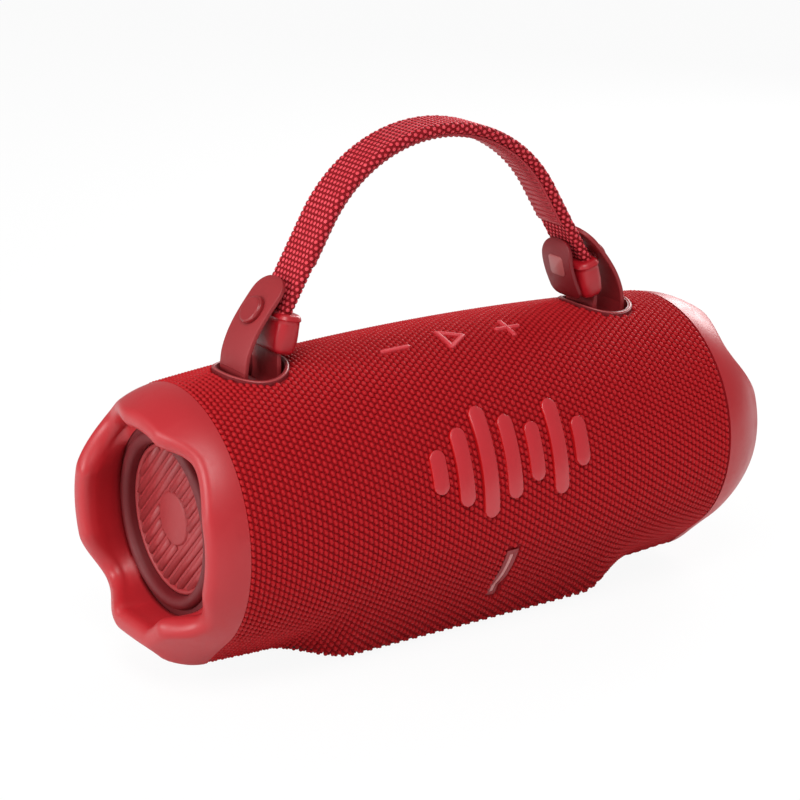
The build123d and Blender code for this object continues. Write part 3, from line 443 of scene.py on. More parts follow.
@dataclass(frozen=True)
class Glow(Finish):
    """Frosted light pipe that scatters a little light of its own colour."""

    def make(self) -> bpy.types.Material:
        """Build the material.

        Returns:
            The material.
        """
        s = Shader(self.name)
        frost = s.noise(1500.0, 2.0)
        pale = s.colours(frost * 0.4, self.colour, linear(176, 104, 104))
        return s.finish(Base_Color=pale, Roughness=self.roughness + frost * 0.1,
                        Normal=s.bump(frost, 0.2, 0.03), Coat_Weight=0.2)


class Paints:
    """Every finish of the speaker, built once and handed out by name."""

    def __init__(self) -> None:
        """Build all the materials."""
        red = (
            # knit beads: painted shade at each bead's foot, painted highlight on its crown
            KnitBead("knit_beads", linear(248, 56, 72), 0.55),
            # knit ground: dark red painted as the shade in the gaps between the beads
            Cloth("knit_ground", linear(150, 6, 18), 0.8, linear(110, 2, 10), 1.0),
            Moulded("ring_rubber", linear(174, 28, 36), 0.42, 1500.0, 0.025, 0.10),
            Moulded("surround_rubber", linear(104, 6, 16), 0.6, 1500.0, 0.02, 0.15),
            Moulded("disc_red", linear(158, 42, 46), 0.50, 2400.0, 0.02, 0.10),
            Moulded("foot_rubber", linear(128, 22, 28), 0.7, 1800.0, 0.04, 0.15),
            Moulded("strip_rubber", linear(150, 30, 36), 0.6, 1800.0, 0.03, 0.12),
            Moulded("badge_red", linear(186, 32, 42), 0.34, 2600.0, 0.008, 0.05, 0.15),
            # badge edge: saturated red, a painted glow along the bars' edges
            Moulded("badge_edge", linear(196, 12, 18), 0.4, 2600.0, 0.008, 0.05, 0.15),
            Moulded("key_red", linear(206, 48, 58), 0.5, 2400.0, 0.01, 0.08),
            Moulded("bezel_red", linear(140, 26, 32), 0.45, 2400.0, 0.01, 0.08),
            Moulded("pocket_red", linear(120, 16, 24), 0.5, 2000.0, 0.02, 0.10),
            # pocket rim: pale pink, on the pocket rims a painted highlight along the lip; the rear key icons
            # use it too
            Moulded("pocket_rim", linear(160, 56, 58), 0.42, 2000.0, 0.01, 0.08),
            Moulded("clip_gloss", linear(170, 14, 28), 0.42, 1200.0, 0.006, 0.05, 0.1),
            Moulded("tab_tpu", linear(144, 26, 32), 0.55, 2200.0, 0.02, 0.10),
            Moulded("leaf_dark", linear(122, 14, 24), 0.5, 2200.0, 0.02, 0.10),
            Moulded("snap_red", linear(140, 24, 30), 0.42, 2200.0, 0.01, 0.08, 0.1),
            Moulded("plate_pale", linear(170, 88, 88), 0.4, 2200.0, 0.01, 0.08),
            Moulded("dark_plastic", linear(38, 22, 24), 0.5, 2000.0, 0.02, 0.12),
            Cloth("strap_ground", linear(150, 14, 26), 0.75, linear(96, 4, 12), 0.9),
            # strap dots: the same painted shade at the foot and painted highlight on the crown
            KnitBead("strap_dots", linear(206, 52, 64), 0.5, linear(140, 8, 20), 5200.0, 0.1, 0.95),
            Moulded("grip_rubber", linear(172, 40, 50), 0.55, 2200.0, 0.02, 0.10),
        )
        plain = (
            Board("board_green", linear(22, 74, 44), 0.35),
            Moulded("chip_black", linear(26, 26, 28), 0.45, 3000.0, 0.01, 0.1),
            Metal("steel", linear(196, 196, 200), 0.28),
            Metal("aluminium", linear(206, 206, 210), 0.38),
            Moulded("ferrite", linear(44, 44, 46), 0.6, 900.0, 0.05, 0.2),
            Cloth("cone_grey", linear(66, 66, 70), 0.7, linear(40, 40, 44), 0.8),
            Cloth("dome_silk", linear(58, 58, 62), 0.6, linear(36, 36, 40), 0.5),
            Wound("copper", linear(206, 122, 72), 0.35),
            Moulded("cell_sleeve", linear(40, 84, 150), 0.3, 800.0, 0.01, 0.08, 0.3),
            Glow("light_pipe", linear(196, 128, 126), 0.4),
        )
        self.by_name = {f.name: f.make() for f in red + plain}

    def __getitem__(self, name: str) -> bpy.types.Material:
        """The material of that name."""
        return self.by_name[name]


# ---------------------------------------------------------------- meshes


class Mesh:
    """Points and faces in millimetres that become one object in metres."""

    def __init__(self) -> None:
        """Start empty."""
        self.points: list[Point] = []
        self.faces: list[tuple[int, ...]] = []
        self.slots: list[int] = []

    def add(self, points: Iterable[Sequence[float]], faces: Iterable[Sequence[int]], slot: int = 0) -> None:
        """Add points and the faces between them, in a material slot.

        Args:
            points: points in millimetres.
            faces: faces by point number.
            slot: the material slot.
        """
        base = len(self.points)
        self.points.extend(tuple(p) for p in points)
        for face in faces:
            self.faces.append(tuple(base + i for i in face))
            self.slots.append(slot)

    def rings(self, rings: Sequence[Sequence[Sequence[float]]], slot: int = 0,
              loop: bool = False) -> None:
        """Skin a row of closed rings that have the same number of points.

        Args:
            rings: the rings, in order.
            slot: the material slot of the faces.
            loop: whether the last ring joins the first, or else both ends get a face.
        """
        count = len(rings[0])
        last = len(rings) if loop else len(rings) - 1
        faces = []
        for i in range(last):
            j = (i + 1) % len(rings)
            for k in range(count):
                m = (k + 1) % count
                faces.append((i * count + k, i * count + m, j * count + m, j * count + k))
        if not loop:
            faces.append(tuple(range(count - 1, -1, -1)))
            faces.append(tuple((len(rings) - 1) * count + k for k in range(count)))
        self.add([p for ring in rings for p in ring], faces, slot)

    def build(self, name: str, materials: Sequence[bpy.types.Material],
              sharp: float = 38.0) -> bpy.types.Object:
        """Make the object.

        Args:
            name: the object's name.
            materials: one material for each slot.
            sharp: edges that turn more than this many degrees stay sharp.

        Returns:
            The object, linked to the scene, with its faces outwards.
        """
        data = bpy.data.meshes.new(name)
        data.from_pydata([tuple(c * MM for c in p) for p in self.points], [], self.faces)
        for face, slot in zip(data.polygons, self.slots):
            face.material_index = slot
        shape = bmesh.new()
        shape.from_mesh(data)
        bmesh.ops.remove_doubles(shape, verts=shape.verts, dist=0.002 * MM)
        bmesh.ops.recalc_face_normals(shape, faces=shape.faces)
        shape.to_mesh(data)
        shape.free()
        data.polygons.foreach_set("use_smooth", [True] * len(data.polygons))
        data.set_sharp_from_angle(angle=math.radians(sharp))
        for material in materials:
            data.materials.append(material)
        return link(name, data)


class Tree:
    """Builds one Geometry Nodes tree with named sizes, and bakes it into plain meshes."""

    def __init__(self, name: str) -> None:
        """Start a tree that has a geometry input and output."""
        self.group = bpy.data.node_groups.new(name, "GeometryNodeTree")
        self.group.interface.new_socket("Geometry", in_out="INPUT", socket_type="NodeSocketGeometry")
        self.group.interface.new_socket("Geometry", in_out="OUTPUT", socket_type="NodeSocketGeometry")
        self.start = self.group.nodes.new("NodeGroupInput")
        self.end = self.group.nodes.new("NodeGroupOutput")
        self.keys: dict[str, str] = {}

    def size(self, name: str, kind: str = "NodeSocketFloat") -> bpy.types.NodeSocket:
        """Add a named input and return its socket."""
        item = self.group.interface.new_socket(name, in_out="INPUT", socket_type=kind)
        self.keys[name] = item.identifier
        return next(o for o in self.start.outputs if o.identifier == item.identifier)

    def node(self, kind: str, settings: dict[str, Any] | None = None,
             inputs: dict[Any, Any] | None = None) -> bpy.types.Node:
        """Add a node.

        Args:
            kind: the node's type.
            settings: its properties, set before its sockets.
            inputs: values or output sockets by socket name or number.

        Returns:
            The node.
        """
        made = self.group.nodes.new(kind)
        for key, value in (settings or {}).items():
            setattr(made, key, value)
        for key, value in (inputs or {}).items():
            if isinstance(value, bpy.types.NodeSocket):
                self.group.links.new(value, made.inputs[key])
            else:
                made.inputs[key].default_value = value
        return made

    def direction(self, name: str) -> bpy.types.NodeSocket:
        """Read a direction that the points carry."""
        kind = "GeometryNodeInputNamedAttribute"
        return self.node(kind, {"data_type": "FLOAT_VECTOR"}, {"Name": name}).outputs[0]

    def turn(self, upright: str, onwards: str) -> bpy.types.NodeSocket:
        """Turn that lays Z along one direction the points carry, and then Y towards another.

        Args:
            upright: the direction for Z.
            onwards: the direction for Y.

        Returns:
            The turn.
        """
        first = self.node("FunctionNodeAlignRotationToVector", {"axis": "Z"}, {
            "Vector": self.direction(upright)})
        then = self.node("FunctionNodeAlignRotationToVector", {"axis": "Y", "pivot_axis": "Z"}, {
            "Rotation": first.outputs[0], "Vector": self.direction(onwards)})
        return then.outputs[0]

    def close(self, instances: bpy.types.NodeSocket) -> None:
        """End the tree in plain smooth geometry with its material set.

        Args:
            instances: the geometry to end in.
        """
        solid = self.node("GeometryNodeRealizeInstances", inputs={"Geometry": instances})
        smooth = self.node("GeometryNodeSetShadeSmooth", inputs={"Geometry": solid.outputs[0]})
        paint = self.node("GeometryNodeSetMaterial", inputs={
            "Geometry": smooth.outputs[0], "Material": self.size("Finish", "NodeSocketMaterial")})
        self.group.links.new(paint.outputs[0], self.end.inputs[0])

    def bake(self, name: str, carrier: bpy.types.Object, values: dict[str, Any]) -> bpy.types.Object:
        """Run the tree on a carrier and keep the result as a plain mesh.

        Args:
            name: the new object's name.
            carrier: the object whose points the tree reads; it is removed.
            values: the tree's inputs by name.

        Returns:
            The new object.
        """
        modifier = carrier.modifiers.new("pattern", "NODES")
        modifier.node_group = self.group
        for key, value in values.items():
            modifier[self.keys[key]] = value
        seen = carrier.evaluated_get(bpy.context.evaluated_depsgraph_get())
        data = bpy.data.meshes.new_from_object(seen)
        data.name = name
        carrier.modifiers.remove(modifier)
        made = link(name, data)
        bpy.data.objects.remove(carrier)
        return made


def carrier(name: str, points: Sequence[Point], **vectors: Sequence[Point]) -> bpy.types.Object:
    """Make an object of loose points, in millimetres, that carry named directions.

    Args:
        name: its name.
        points: the points.
        vectors: directions by name, one for each point.

    Returns:
        The object.
    """
    data = bpy.data.meshes.new(name)
    data.from_pydata([tuple(c * MM for c in p) for p in points], [], [])
    for key, values in vectors.items():
        layer = data.attributes.new(key, "FLOAT_VECTOR", "POINT")
        layer.data.foreach_set("vector", [c for v in values for c in v])
    return link(name, data)


def bead_tree() -> Tree:
    """Tree that sets a small rounded bead on every point, its long side along the point's lean.

    Returns:
        The tree.
    """
    t = Tree("beads")
    half = t.node("ShaderNodeCombineXYZ", inputs={
        0: t.size("Half width"), 1: t.size("Half length"), 2: t.size("Half height")})
    ball = t.node("GeometryNodeMeshUVSphere", inputs={"Segments": 6, "Rings": 4, "Radius": 1.0})
    place = t.node("GeometryNodeInputPosition")
    up = t.node("ShaderNodeSeparateXYZ", inputs={0: place.outputs[0]})
    # crown: each bead's own height, which the bead finish turns into painted shade at the foot and a painted
    # highlight on top
    crowned = t.node("GeometryNodeStoreNamedAttribute", {"data_type": "FLOAT", "domain": "POINT"}, {
        "Geometry": ball.outputs[0], "Name": "crown", "Value": up.outputs["Z"]})
    laid = t.node("GeometryNodeInstanceOnPoints", inputs={
        "Points": t.start.outputs[0], "Instance": crowned.outputs[0],
        "Rotation": t.turn("out", "lean"), "Scale": half.outputs[0]})
    shade = t.node("FunctionNodeRandomValue", {"data_type": "FLOAT"}, {2: 0.0, 3: 1.0, "Seed": 7})
    toned = t.node("GeometryNodeStoreNamedAttribute", {"data_type": "FLOAT", "domain": "INSTANCE"}, {
        "Geometry": laid.outputs[0], "Name": "tone", "Value": shade.outputs[1]})
    t.close(toned.outputs[0])
    return t


def bar_tree() -> Tree:
    """Tree that lays a rounded bar on every point, scaled by the point's reach.

    Returns:
        The tree.
    """
    t = Tree("bars")
    rod = t.node("GeometryNodeMeshCylinder", inputs={
        "Vertices": 14, "Side Segments": 1, "Radius": 1.0, "Depth": 2.0})
    laid = t.node("GeometryNodeInstanceOnPoints", inputs={
        "Points": t.start.outputs[0], "Instance": rod.outputs[0],
        "Rotation": t.turn("lean", "out"), "Scale": t.direction("reach")})
    t.close(laid.outputs[0])
    return t


def rounded_section(width: float, height: float, radius: float, corner: int = 4) -> list[tuple[float, float]]:
    """Outline of a rectangle with round corners, centred, counter-clockwise.

    Args:
        width: width of the section.
        height: height of the section.
        radius: radius of its corners.
        corner: steps in each corner.

    Returns:
        Its points.
    """
    points = []
    for sx, sy, start in ((1, 1, 0), (-1, 1, 90), (-1, -1, 180), (1, -1, 270)):
        cx, cy = sx * (width / 2 - radius), sy * (height / 2 - radius)
        for i in range(corner + 1):
            a = math.radians(start + 90.0 * i / corner)
            points.append((cx + radius * math.cos(a), cy + radius * math.sin(a)))
    return points


def smooth_path(points: Sequence[Sequence[float]], steps: int = 8) -> list[tuple[float, ...]]:
    """Run a Catmull-Rom curve through a few points.

    Args:
        points: the points it runs through.
        steps: steps between two points.

    Returns:
        Points of the curve.
    """
    full = [points[0], *points, points[-1]]
    result = []
    for i in range(1, len(full) - 2):
        a, b, c, d = (Vector(full[i + k]) for k in (-1, 0, 1, 2))
        for k in range(steps):
            t = k / steps
            result.append(tuple(0.5 * (2 * b + (c - a) * t + (2 * a - 5 * b + 4 * c - d) * t * t
                                       + (3 * b - a - 3 * c + d) * t * t * t)))
    result.append(tuple(points[-1]))
    return result


def dress(frame: dict[str, Any], material: bpy.types.Material, *nodes: str) -> None:
    """Give CAD nodes their finish.

    Args:
        frame: the loaded frame.
        material: the finish.
        nodes: the CAD nodes.
    """
    for node in nodes:
        data = frame["nodes"][node].data
        data.materials.clear()
        data.materials.append(material)


def seat(piece: bpy.types.Object, body: str, slot: str, *nodes: str) -> bpy.types.Object:
    """Let a piece ride on a body and stand for CAD nodes.

    Args:
        piece: the visual piece.
        body: the body it rides on.
        slot: not used.
        nodes: the CAD nodes it stands for.

    Returns:
        The piece.
    """
    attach(piece, body)
    if nodes:
        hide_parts(*nodes)
    LOG.info("%s: %d faces on %s", piece.name, len(piece.data.polygons), body)
    return piece


# ---------------------------------------------------------------- barrel


@dataclass
class Barrel:
    """The sleeve's outer skin as a formula of the place along the barrel and the angle round it."""

    seam_x: float = 94.0
    seam_r: float = 42.8
    body_r: float = 47.0
    axis_z: float = 51.5
    foot_x: float = 50.0
    foot_w: float = 24.0
    foot_z: float = 1.5
    neck_x: float = 73.0
    neck_w: float = 14.0
    neck_z: float = 6.3
    end_w: float = 12.0
    end_z: float = 6.0

    def radius(self, x: float) -> float:
        """Radius of the round part."""
        sag = self.body_r - self.seam_r
        arc = (self.seam_x ** 2 + sag ** 2) / (2.0 * sag)
        return self.body_r - arc + math.sqrt(arc ** 2 - min(abs(x), self.seam_x) ** 2)

    def keel(self, x: float) -> tuple[float, float]:
        """Half width and height of the keel's underside.

        Args:
            x: place along the barrel.

        Returns:
            Half width and height.
        """
        share = ease(abs(x), self.foot_x - 4.0, self.neck_x)
        far = ease(abs(x), self.neck_x, self.seam_x)
        half = mix(mix(self.foot_w, self.neck_w, share), self.end_w, far)
        low = mix(mix(self.foot_z, self.neck_z, share), self.end_z, far)
        return half, low

    def reach(self, x: float, angle: float) -> float:
        """Distance from the axis to the skin, at an angle in degrees from the top to the front.

        Args:
            x: place along the barrel.
            angle: degrees from the top to the front.

        Returns:
            The distance.
        """
        r = self.radius(x)
        half, low = self.keel(x)
        drop = self.axis_z - low
        down = math.radians(180.0 - abs((angle + 180.0) % 360.0 - 180.0))
        lean = math.atan2(drop, half) - math.acos(min(1.0, r / math.hypot(half, drop)))
        if down >= math.pi / 2 - lean:
            return r
        flank = r / max(0.05, math.sin(lean + down))
        floor = drop / max(0.05, math.cos(down))
        soft = 1.2
        gap = max(soft - abs(flank - floor), 0.0) / soft
        return min(flank, floor) - gap * gap * soft * 0.25

    def point(self, x: float, angle: float, above: float = 0.0) -> Point:
        """Point on the skin, or above it by some millimetres."""
        a = math.radians(angle)
        r = self.reach(x, angle) + above
        return x, -r * math.sin(a), self.axis_z + r * math.cos(a)

    def out(self, x: float, angle: float) -> Vector:
        """Outward normal of the skin."""
        along = Vector(self.point(x + 0.5, angle)) - Vector(self.point(x - 0.5, angle))
        round_ = Vector(self.point(x, angle + 0.5)) - Vector(self.point(x, angle - 0.5))
        return round_.cross(along).normalized() * -1.0

    def around(self, x: float, angle: float) -> Vector:
        """Direction on the skin in which the angle grows."""
        return (Vector(self.point(x, angle + 0.5)) - Vector(self.point(x, angle - 0.5))).normalized()


@dataclass
class Sleeve:
    """Knitted sleeve: a dark ground, painted shade between the beads, and rows of yarn beads round the
    barrel.
    """

    barrel: Barrel
    column: float = 1.75
    round_count: int = 122
    half_length: float = 1.30
    half_width: float = 0.82
    half_height: float = 0.95
    sink: float = 0.55
    tilt: float = 14.0
    ground_inset: float = 0.5
    ground_t: float = 0.5
    ground_steps: int = 94
    ground_turns: int = 150
    lap: float = 0.3

    def ground(self, paints: Paints) -> bpy.types.Object:
        """Dark cloth under the beads, painted shade in the gaps between them, with openings where pieces come
        through.

        Args:
            paints: the finishes by name.

        Returns:
            The ground, cut.
        """
        b = self.barrel
        mesh = Mesh()
        steps, turns = self.ground_steps, self.ground_turns
        rows = []
        for inset in (self.ground_inset, self.ground_inset + self.ground_t):
            for i in range(steps + 1):
                x = mix(-b.seam_x, b.seam_x, i / steps)
                rows.append([b.point(x, 360.0 * k / turns, -inset) for k in range(turns)])
        outer, inner = rows[:steps + 1], rows[steps + 1:]
        mesh.rings(outer + inner[::-1], loop=True)
        ground = mesh.build("sleeve_ground", [paints["knit_ground"]])
        for cutter in self.cutters():
            self.cut(ground, cutter)
        return ground

    def cutters(self) -> list[bpy.types.Object]:
        """Solid shapes of the openings for pockets, rear strip, foot and light.

        Returns:
            The solids.
        """
        shapes = []
        for end in End:
            low, high = box_mm("strap_pocket_" + end.word)
            cx, rx, ry = pocket_mm(end)
            oval = [(cx + (rx - self.lap) * c, (ry - self.lap) * d) for c, d in circle(72)]
            shapes.append([[(x, y, z) for x, y in oval] for z in (low[2] - 2, high[2] + 8)])
        low, high = box_mm("rear_panel")
        outline = rounded_section(high[0] - low[0] - 0.4, high[2] - low[2] - 0.4, 4.0)
        middle = (low[2] + high[2]) / 2
        shapes.append([[(x, y, middle + z) for x, z in outline] for y in (30.0, 60.0)])
        low, high = box_mm("base_foot")
        outline = rounded_section(high[0] - low[0] - 0.4, high[1] - low[1] - 0.4, 8.0)
        shapes.append([[(x, y, z) for x, y in outline] for z in (-3.0, 8.0)])
        low, high = box_mm("led_bezel")
        shapes.append([[(x, y, z) for x, z in ((low[0] + 0.2, low[2] + 0.2), (high[0] - 0.2, low[2] + 0.2),
                                               (high[0] - 0.2, high[2] - 0.2), (low[0] + 0.2, high[2] - 0.2))]
                       for y in (-60.0, -15.0)])
        for x in TopKeys.middles:
            a = math.radians(TopKeys.angle)
            pad = [(TopKeys.pad_r * c, TopKeys.pad_r * d) for c, d in circle(48)]
            shapes.append([[(x + u, -reach * math.sin(a) + v * math.cos(a),
                             self.barrel.axis_z + reach * math.cos(a) + v * math.sin(a)) for u, v in pad]
                           for reach in (38.0, 56.0)])
        made = []
        for i, rings in enumerate(shapes):
            mesh = Mesh()
            mesh.rings(rings)
            made.append(mesh.build(f"cutter_{i}", []))
        return made

    @staticmethod
    def cut(piece: bpy.types.Object, cutter: bpy.types.Object) -> None:
        """Take the cutter's shape out of the piece and remove the cutter.

        Args:
            piece: the visual piece.
            cutter: the solid to take away.
        """
        modifier = piece.modifiers.new("opening", "BOOLEAN")
        modifier.operation = "DIFFERENCE"
        modifier.solver = "EXACT"
        modifier.object = cutter
        seen = piece.evaluated_get(bpy.context.evaluated_depsgraph_get())
        data = bpy.data.meshes.new_from_object(seen)
        piece.modifiers.remove(modifier)
        piece.data = data
        bpy.data.objects.remove(cutter)

    def covered(self, place: Point) -> bool:
        """Whether a bead at this place would lie under a pocket, the rear strip, the foot or the light.

        Args:
            place: a point on the skin.

        Returns:
            True where a bead is left out.
        """
        x, y, z = place
        for end in End:
            cx, rx, ry = pocket_mm(end)
            share = ((x - cx) / (rx + self.lap)) ** 2 + (y / (ry + self.lap)) ** 2
            if z > self.barrel.axis_z and share < 1.0:
                return True
        low, high = box_mm("rear_panel")
        if y > 30.0 and low[0] - 0.4 < x < high[0] + 0.4 and low[2] - 0.5 < z < high[2] + 0.5:
            return True
        low, high = box_mm("base_foot")
        if z < 8.0 and low[0] - 0.4 < x < high[0] + 0.4 and low[1] - 0.4 < y < high[1] + 0.4:
            return True
        low, high = box_mm("led_bezel")
        return y < -15.0 and low[0] - 0.6 < x < high[0] + 0.6 and low[2] - 0.6 < z < high[2] + 0.6

    def beads(self, paints: Paints) -> list[bpy.types.Object]:
        """Yarn beads in four parts, brick-laid in columns that run round the barrel.

        Args:
            paints: the finishes by name.

        Returns:
            The four parts.
        """
        b = self.barrel
        parts: dict[str, list[tuple[Point, Point, Point]]] = {}
        columns = int(2 * b.seam_x / self.column)
        for i in range(columns):
            x = -b.seam_x + self.column * (i + 0.5)
            for k in range(self.round_count):
                angle = 360.0 * (k + (0.5 if i % 2 else 0.0)) / self.round_count
                place = b.point(x, angle, -self.sink)
                if self.covered(b.point(x, angle)):
                    continue
                t = math.radians(self.tilt)
                lean = b.around(x, angle) * math.cos(t) + Vector((1.0, 0.0, 0.0)) * math.sin(t)
                side = ("front" if angle < 180.0 else "rear") + ("_left" if x < 0 else "_right")
                parts.setdefault(side, []).append((place, tuple(b.out(x, angle)), tuple(lean)))
        tree = bead_tree()
        made = []
        for side, rows in parts.items():
            places, outs, leans = zip(*rows)
            base = carrier("beads_" + side, places, out=outs, lean=leans)
            made.append(tree.bake("knit_" + side, base, {
                "Half width": self.half_width * MM, "Half length": self.half_length * MM,
                "Half height": self.half_height * MM, "Finish": paints["knit_beads"]}))
        return made

    def build(self, paints: Paints) -> None:
        """Make the sleeve."""
        seat(self.ground(paints), "speaker", "knit_red", "fabric_sleeve")
        for part in self.beads(paints):
            seat(part, "speaker", "knit_red")


# ---------------------------------------------------------------- end rings


@dataclass
class EndRing:
    """Rubber bumper with four lobes, four valleys and a rounded lip."""

    barrel: Barrel
    end: End
    tip_x: float = 114.4
    lip: float = 3.7
    fall: float = 0.08
    curve: float = 0.020
    inner_x: float = 99.2
    inner_r: float = 30.6
    turns: int = 240
    rims: tuple[tuple[float, float], ...] = (
        (-7.0, 4.6), (20.0, 4.9), (46.0, 11.0), (76.0, 8.6), (108.0, 8.4), (126.0, 10.2), (150.0, 2.0),
        (196.0, 1.0), (224.0, 6.8), (250.0, 0.0), (289.0, 0.0), (318.0, 10.2), (353.0, 4.6))

    def outer(self, x: float, angle: float) -> float:
        """Outer radius at a place along the ring, with the keel's line running out under it.

        Args:
            x: place along the ring.
            angle: degrees from the top to the front.

        Returns:
            The radius.
        """
        d = x - self.barrel.seam_x
        extra = self.barrel.reach(self.barrel.seam_x, angle) - self.barrel.seam_r
        keel = extra * (1.1 - 0.6 * ease(d, 12.0, 20.0))
        return self.barrel.seam_r - self.fall * d - self.curve * d * d + keel

    def valley(self, angle: float) -> float:
        """How far the rim lies behind the tips, at an angle from the top to the front.

        The two rings are one part, turned half round, so the right one reads the angles backwards.

        Args:
            angle: degrees from the top to the front.

        Returns:
            Millimetres behind the tips.
        """
        own = (angle if self.end is End.LEFT else -angle) % 360.0
        if own >= self.rims[-1][0]:
            own -= 360.0
        for (a, low), (b, high) in zip(self.rims, self.rims[1:]):
            if a <= own <= b:
                return mix(low, high, ease(own, a, b))
        return 0.0

    def profile(self, angle: float) -> list[tuple[float, float]]:
        """Section through the ring at an angle, as (x, radius), from the seam over the lip to the inside.

        Args:
            angle: degrees from the top to the front.

        Returns:
            The section's points.
        """
        centre = self.tip_x - self.valley(angle) - self.lip
        slope = self.fall + 2.0 * self.curve * (centre + 2.0 - self.barrel.seam_x)
        tilt = math.atan(slope)
        start = centre + self.lip * math.sin(tilt)
        mid_r = self.outer(start, angle) - self.lip * math.cos(tilt)
        lobe = max(0.0, 1.0 - self.valley(angle) / 8.0)
        points = []
        for i in range(9):
            x = mix(self.barrel.seam_x, start, i / 9)
            points.append((x, self.outer(x, angle)))
        power = mix(1.0, 0.72, lobe)
        for i in range(15):
            a = math.pi / 2 - tilt - (math.pi - tilt * 0.6) * i / 14
            c, s = math.cos(a), math.sin(a)
            points.append((centre + self.lip * math.copysign(abs(c) ** power, c),
                           mid_r + self.lip * math.copysign(abs(s) ** power, s)))
        last_x, last_r = points[-1]
        for i in range(1, 6):
            points.append((mix(last_x, self.inner_x, i / 5), mix(last_r, self.inner_r, (i / 5) ** 0.8)))
        points.append((self.barrel.seam_x + 0.2, self.inner_r + 6.0))
        points.append((self.barrel.seam_x, self.barrel.seam_r - 3.0))
        return points

    def build(self, paints: Paints) -> None:
        """Make the ring.

        Args:
            paints: the finishes by name.
        """
        mesh = Mesh()
        rings = []
        for k in range(self.turns):
            angle = 360.0 * k / self.turns
            a = math.radians(angle)
            rings.append([(self.end.value * x, -r * math.sin(a), self.barrel.axis_z + r * math.cos(a))
                          for x, r in self.profile(angle)])
        mesh.rings(rings, loop=True)
        ring = mesh.build("bumper_" + self.end.word, [paints["ring_rubber"]], 60.0)
        seat(ring, "speaker", "rubber_red", "end_ring_" + self.end.word)


# ---------------------------------------------------------------- radiators


@dataclass
class Radiator:
    """Ribbed disc on a rubber roll inside an end ring."""

    barrel: Barrel
    end: End
    rib_pitch: float = 3.5
    rib_half: float = 1.32
    rib_rise: float = 0.85
    rim: float = 1.5
    boss_r: float = 8.5
    roll: float = 2.1
    rubber_t: float = 0.9

    def lathe(self, name: str, profile: Sequence[tuple[float, float]], material: bpy.types.Material,
              turns: int = 120) -> bpy.types.Object:
        """Turn an outline of (distance along the barrel, radius) about the axis.

        Args:
            name: its name.
            profile: the outline, as (x, radius).
            material: its finish.
            turns: steps round the axis.

        Returns:
            The turned piece.
        """
        mesh = Mesh()
        rings = []
        for c, d in circle(turns):
            rings.append([(self.end.value * x, r * c, self.barrel.axis_z + r * d) for x, r in profile])
        mesh.rings(rings, loop=True)
        return mesh.build(name, [material], 50.0)

    def surround(self, paints: Paints) -> None:
        """Rubber roll, curved in section, between the frame and the disc.

        Args:
            paints: the finishes by name.
        """
        low, high = box_mm("radiator_surround_right")
        disc = box_mm("radiator_diaphragm_right")[1][1]
        leg = disc + 0.1
        back, seat_x = low[0], high[0] - self.roll - self.rubber_t
        face = seat_x + self.rubber_t
        mid = leg + self.roll
        rim = high[1]
        profile = [(seat_x, rim), (face, rim)]
        for i in range(13):
            a = math.pi * i / 12
            profile.append((face + self.roll * math.sin(a), mid + self.roll * math.cos(a)))
        profile += [(back, leg), (back, leg + self.rubber_t)]
        inner = self.roll - self.rubber_t
        for i in range(13):
            a = math.pi * (12 - i) / 12
            profile.append((face + inner * math.sin(a), mid + inner * math.cos(a)))
        profile.append((seat_x, mid + inner))
        piece = self.lathe("roll_" + self.end.word, profile, paints["surround_rubber"])
        sign = self.end.value
        sign * (seat_x + 0.2) * MM
        sign * back * MM
        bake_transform(piece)
        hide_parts("radiator_surround_" + self.end.word)

    def disc(self, paints: Paints) -> None:
        """Disc, rim, boss and slanting ribs.

        Args:
            paints: the finishes by name.
        """
        low, high = box_mm("radiator_diaphragm_right")
        radius = high[1]
        back, top = low[0], high[0]
        face = top - 1.0
        profile = [(back, 0.001), (back, radius)]
        profile += [(top - 0.4, radius), (top - 0.1, radius - 0.3), (top, radius - 0.7),
                    (top - 0.1, radius - 1.1), (top - 0.4, radius - self.rim),
                    (face, radius - self.rim - 0.2)]
        profile += [(face, self.boss_r + 0.3), (top - 0.5, self.boss_r), (top - 0.3, self.boss_r - 0.5),
                    (top - 0.25, 0.001)]
        piece = self.lathe("disc_" + self.end.word, profile, paints["disc_red"])
        body = "radiator_" + self.end.word
        seat(piece, body, "disc_red", "radiator_diaphragm_" + self.end.word)
        sign = self.end.value
        slant = Vector((0.0, sign * 1.0, 1.0)).normalized()
        across = Vector((0.0, -sign * 1.0, 1.0)).normalized()
        places, reach = [], []
        count = int(radius / self.rib_pitch)
        inside = radius - self.rim
        for i in range(-count, count + 1):
            d = i * self.rib_pitch
            half = math.sqrt(max(0.0, inside ** 2 - d ** 2))
            gap = math.sqrt(self.boss_r ** 2 - d ** 2) + 0.7 if abs(d) < self.boss_r else 0.0
            spans = [(-half, -gap), (gap, half)] if gap else [(-half, half)]
            for a, c in spans:
                if c - a < 2.0:
                    continue
                middle = across * d + slant * ((a + c) / 2)
                places.append((sign * (face - 0.1), middle.y, self.barrel.axis_z + middle.z))
                reach.append((self.rib_half * MM, self.rib_rise * MM, (c - a) / 2 * MM))
        count = len(places)
        base = carrier("ribs", places, out=[(sign, 0.0, 0.0)] * count, lean=[tuple(slant)] * count,
                       reach=reach)
        ribs = bar_tree().bake("disc_ribs_" + self.end.word, base, {"Finish": paints["disc_red"]})
        seat(ribs, body, "disc_red")

    def build(self, paints: Paints) -> None:
        """Make the radiator."""
        self.surround(paints)
        self.disc(paints)


# ---------------------------------------------------------------- badge, keys, light


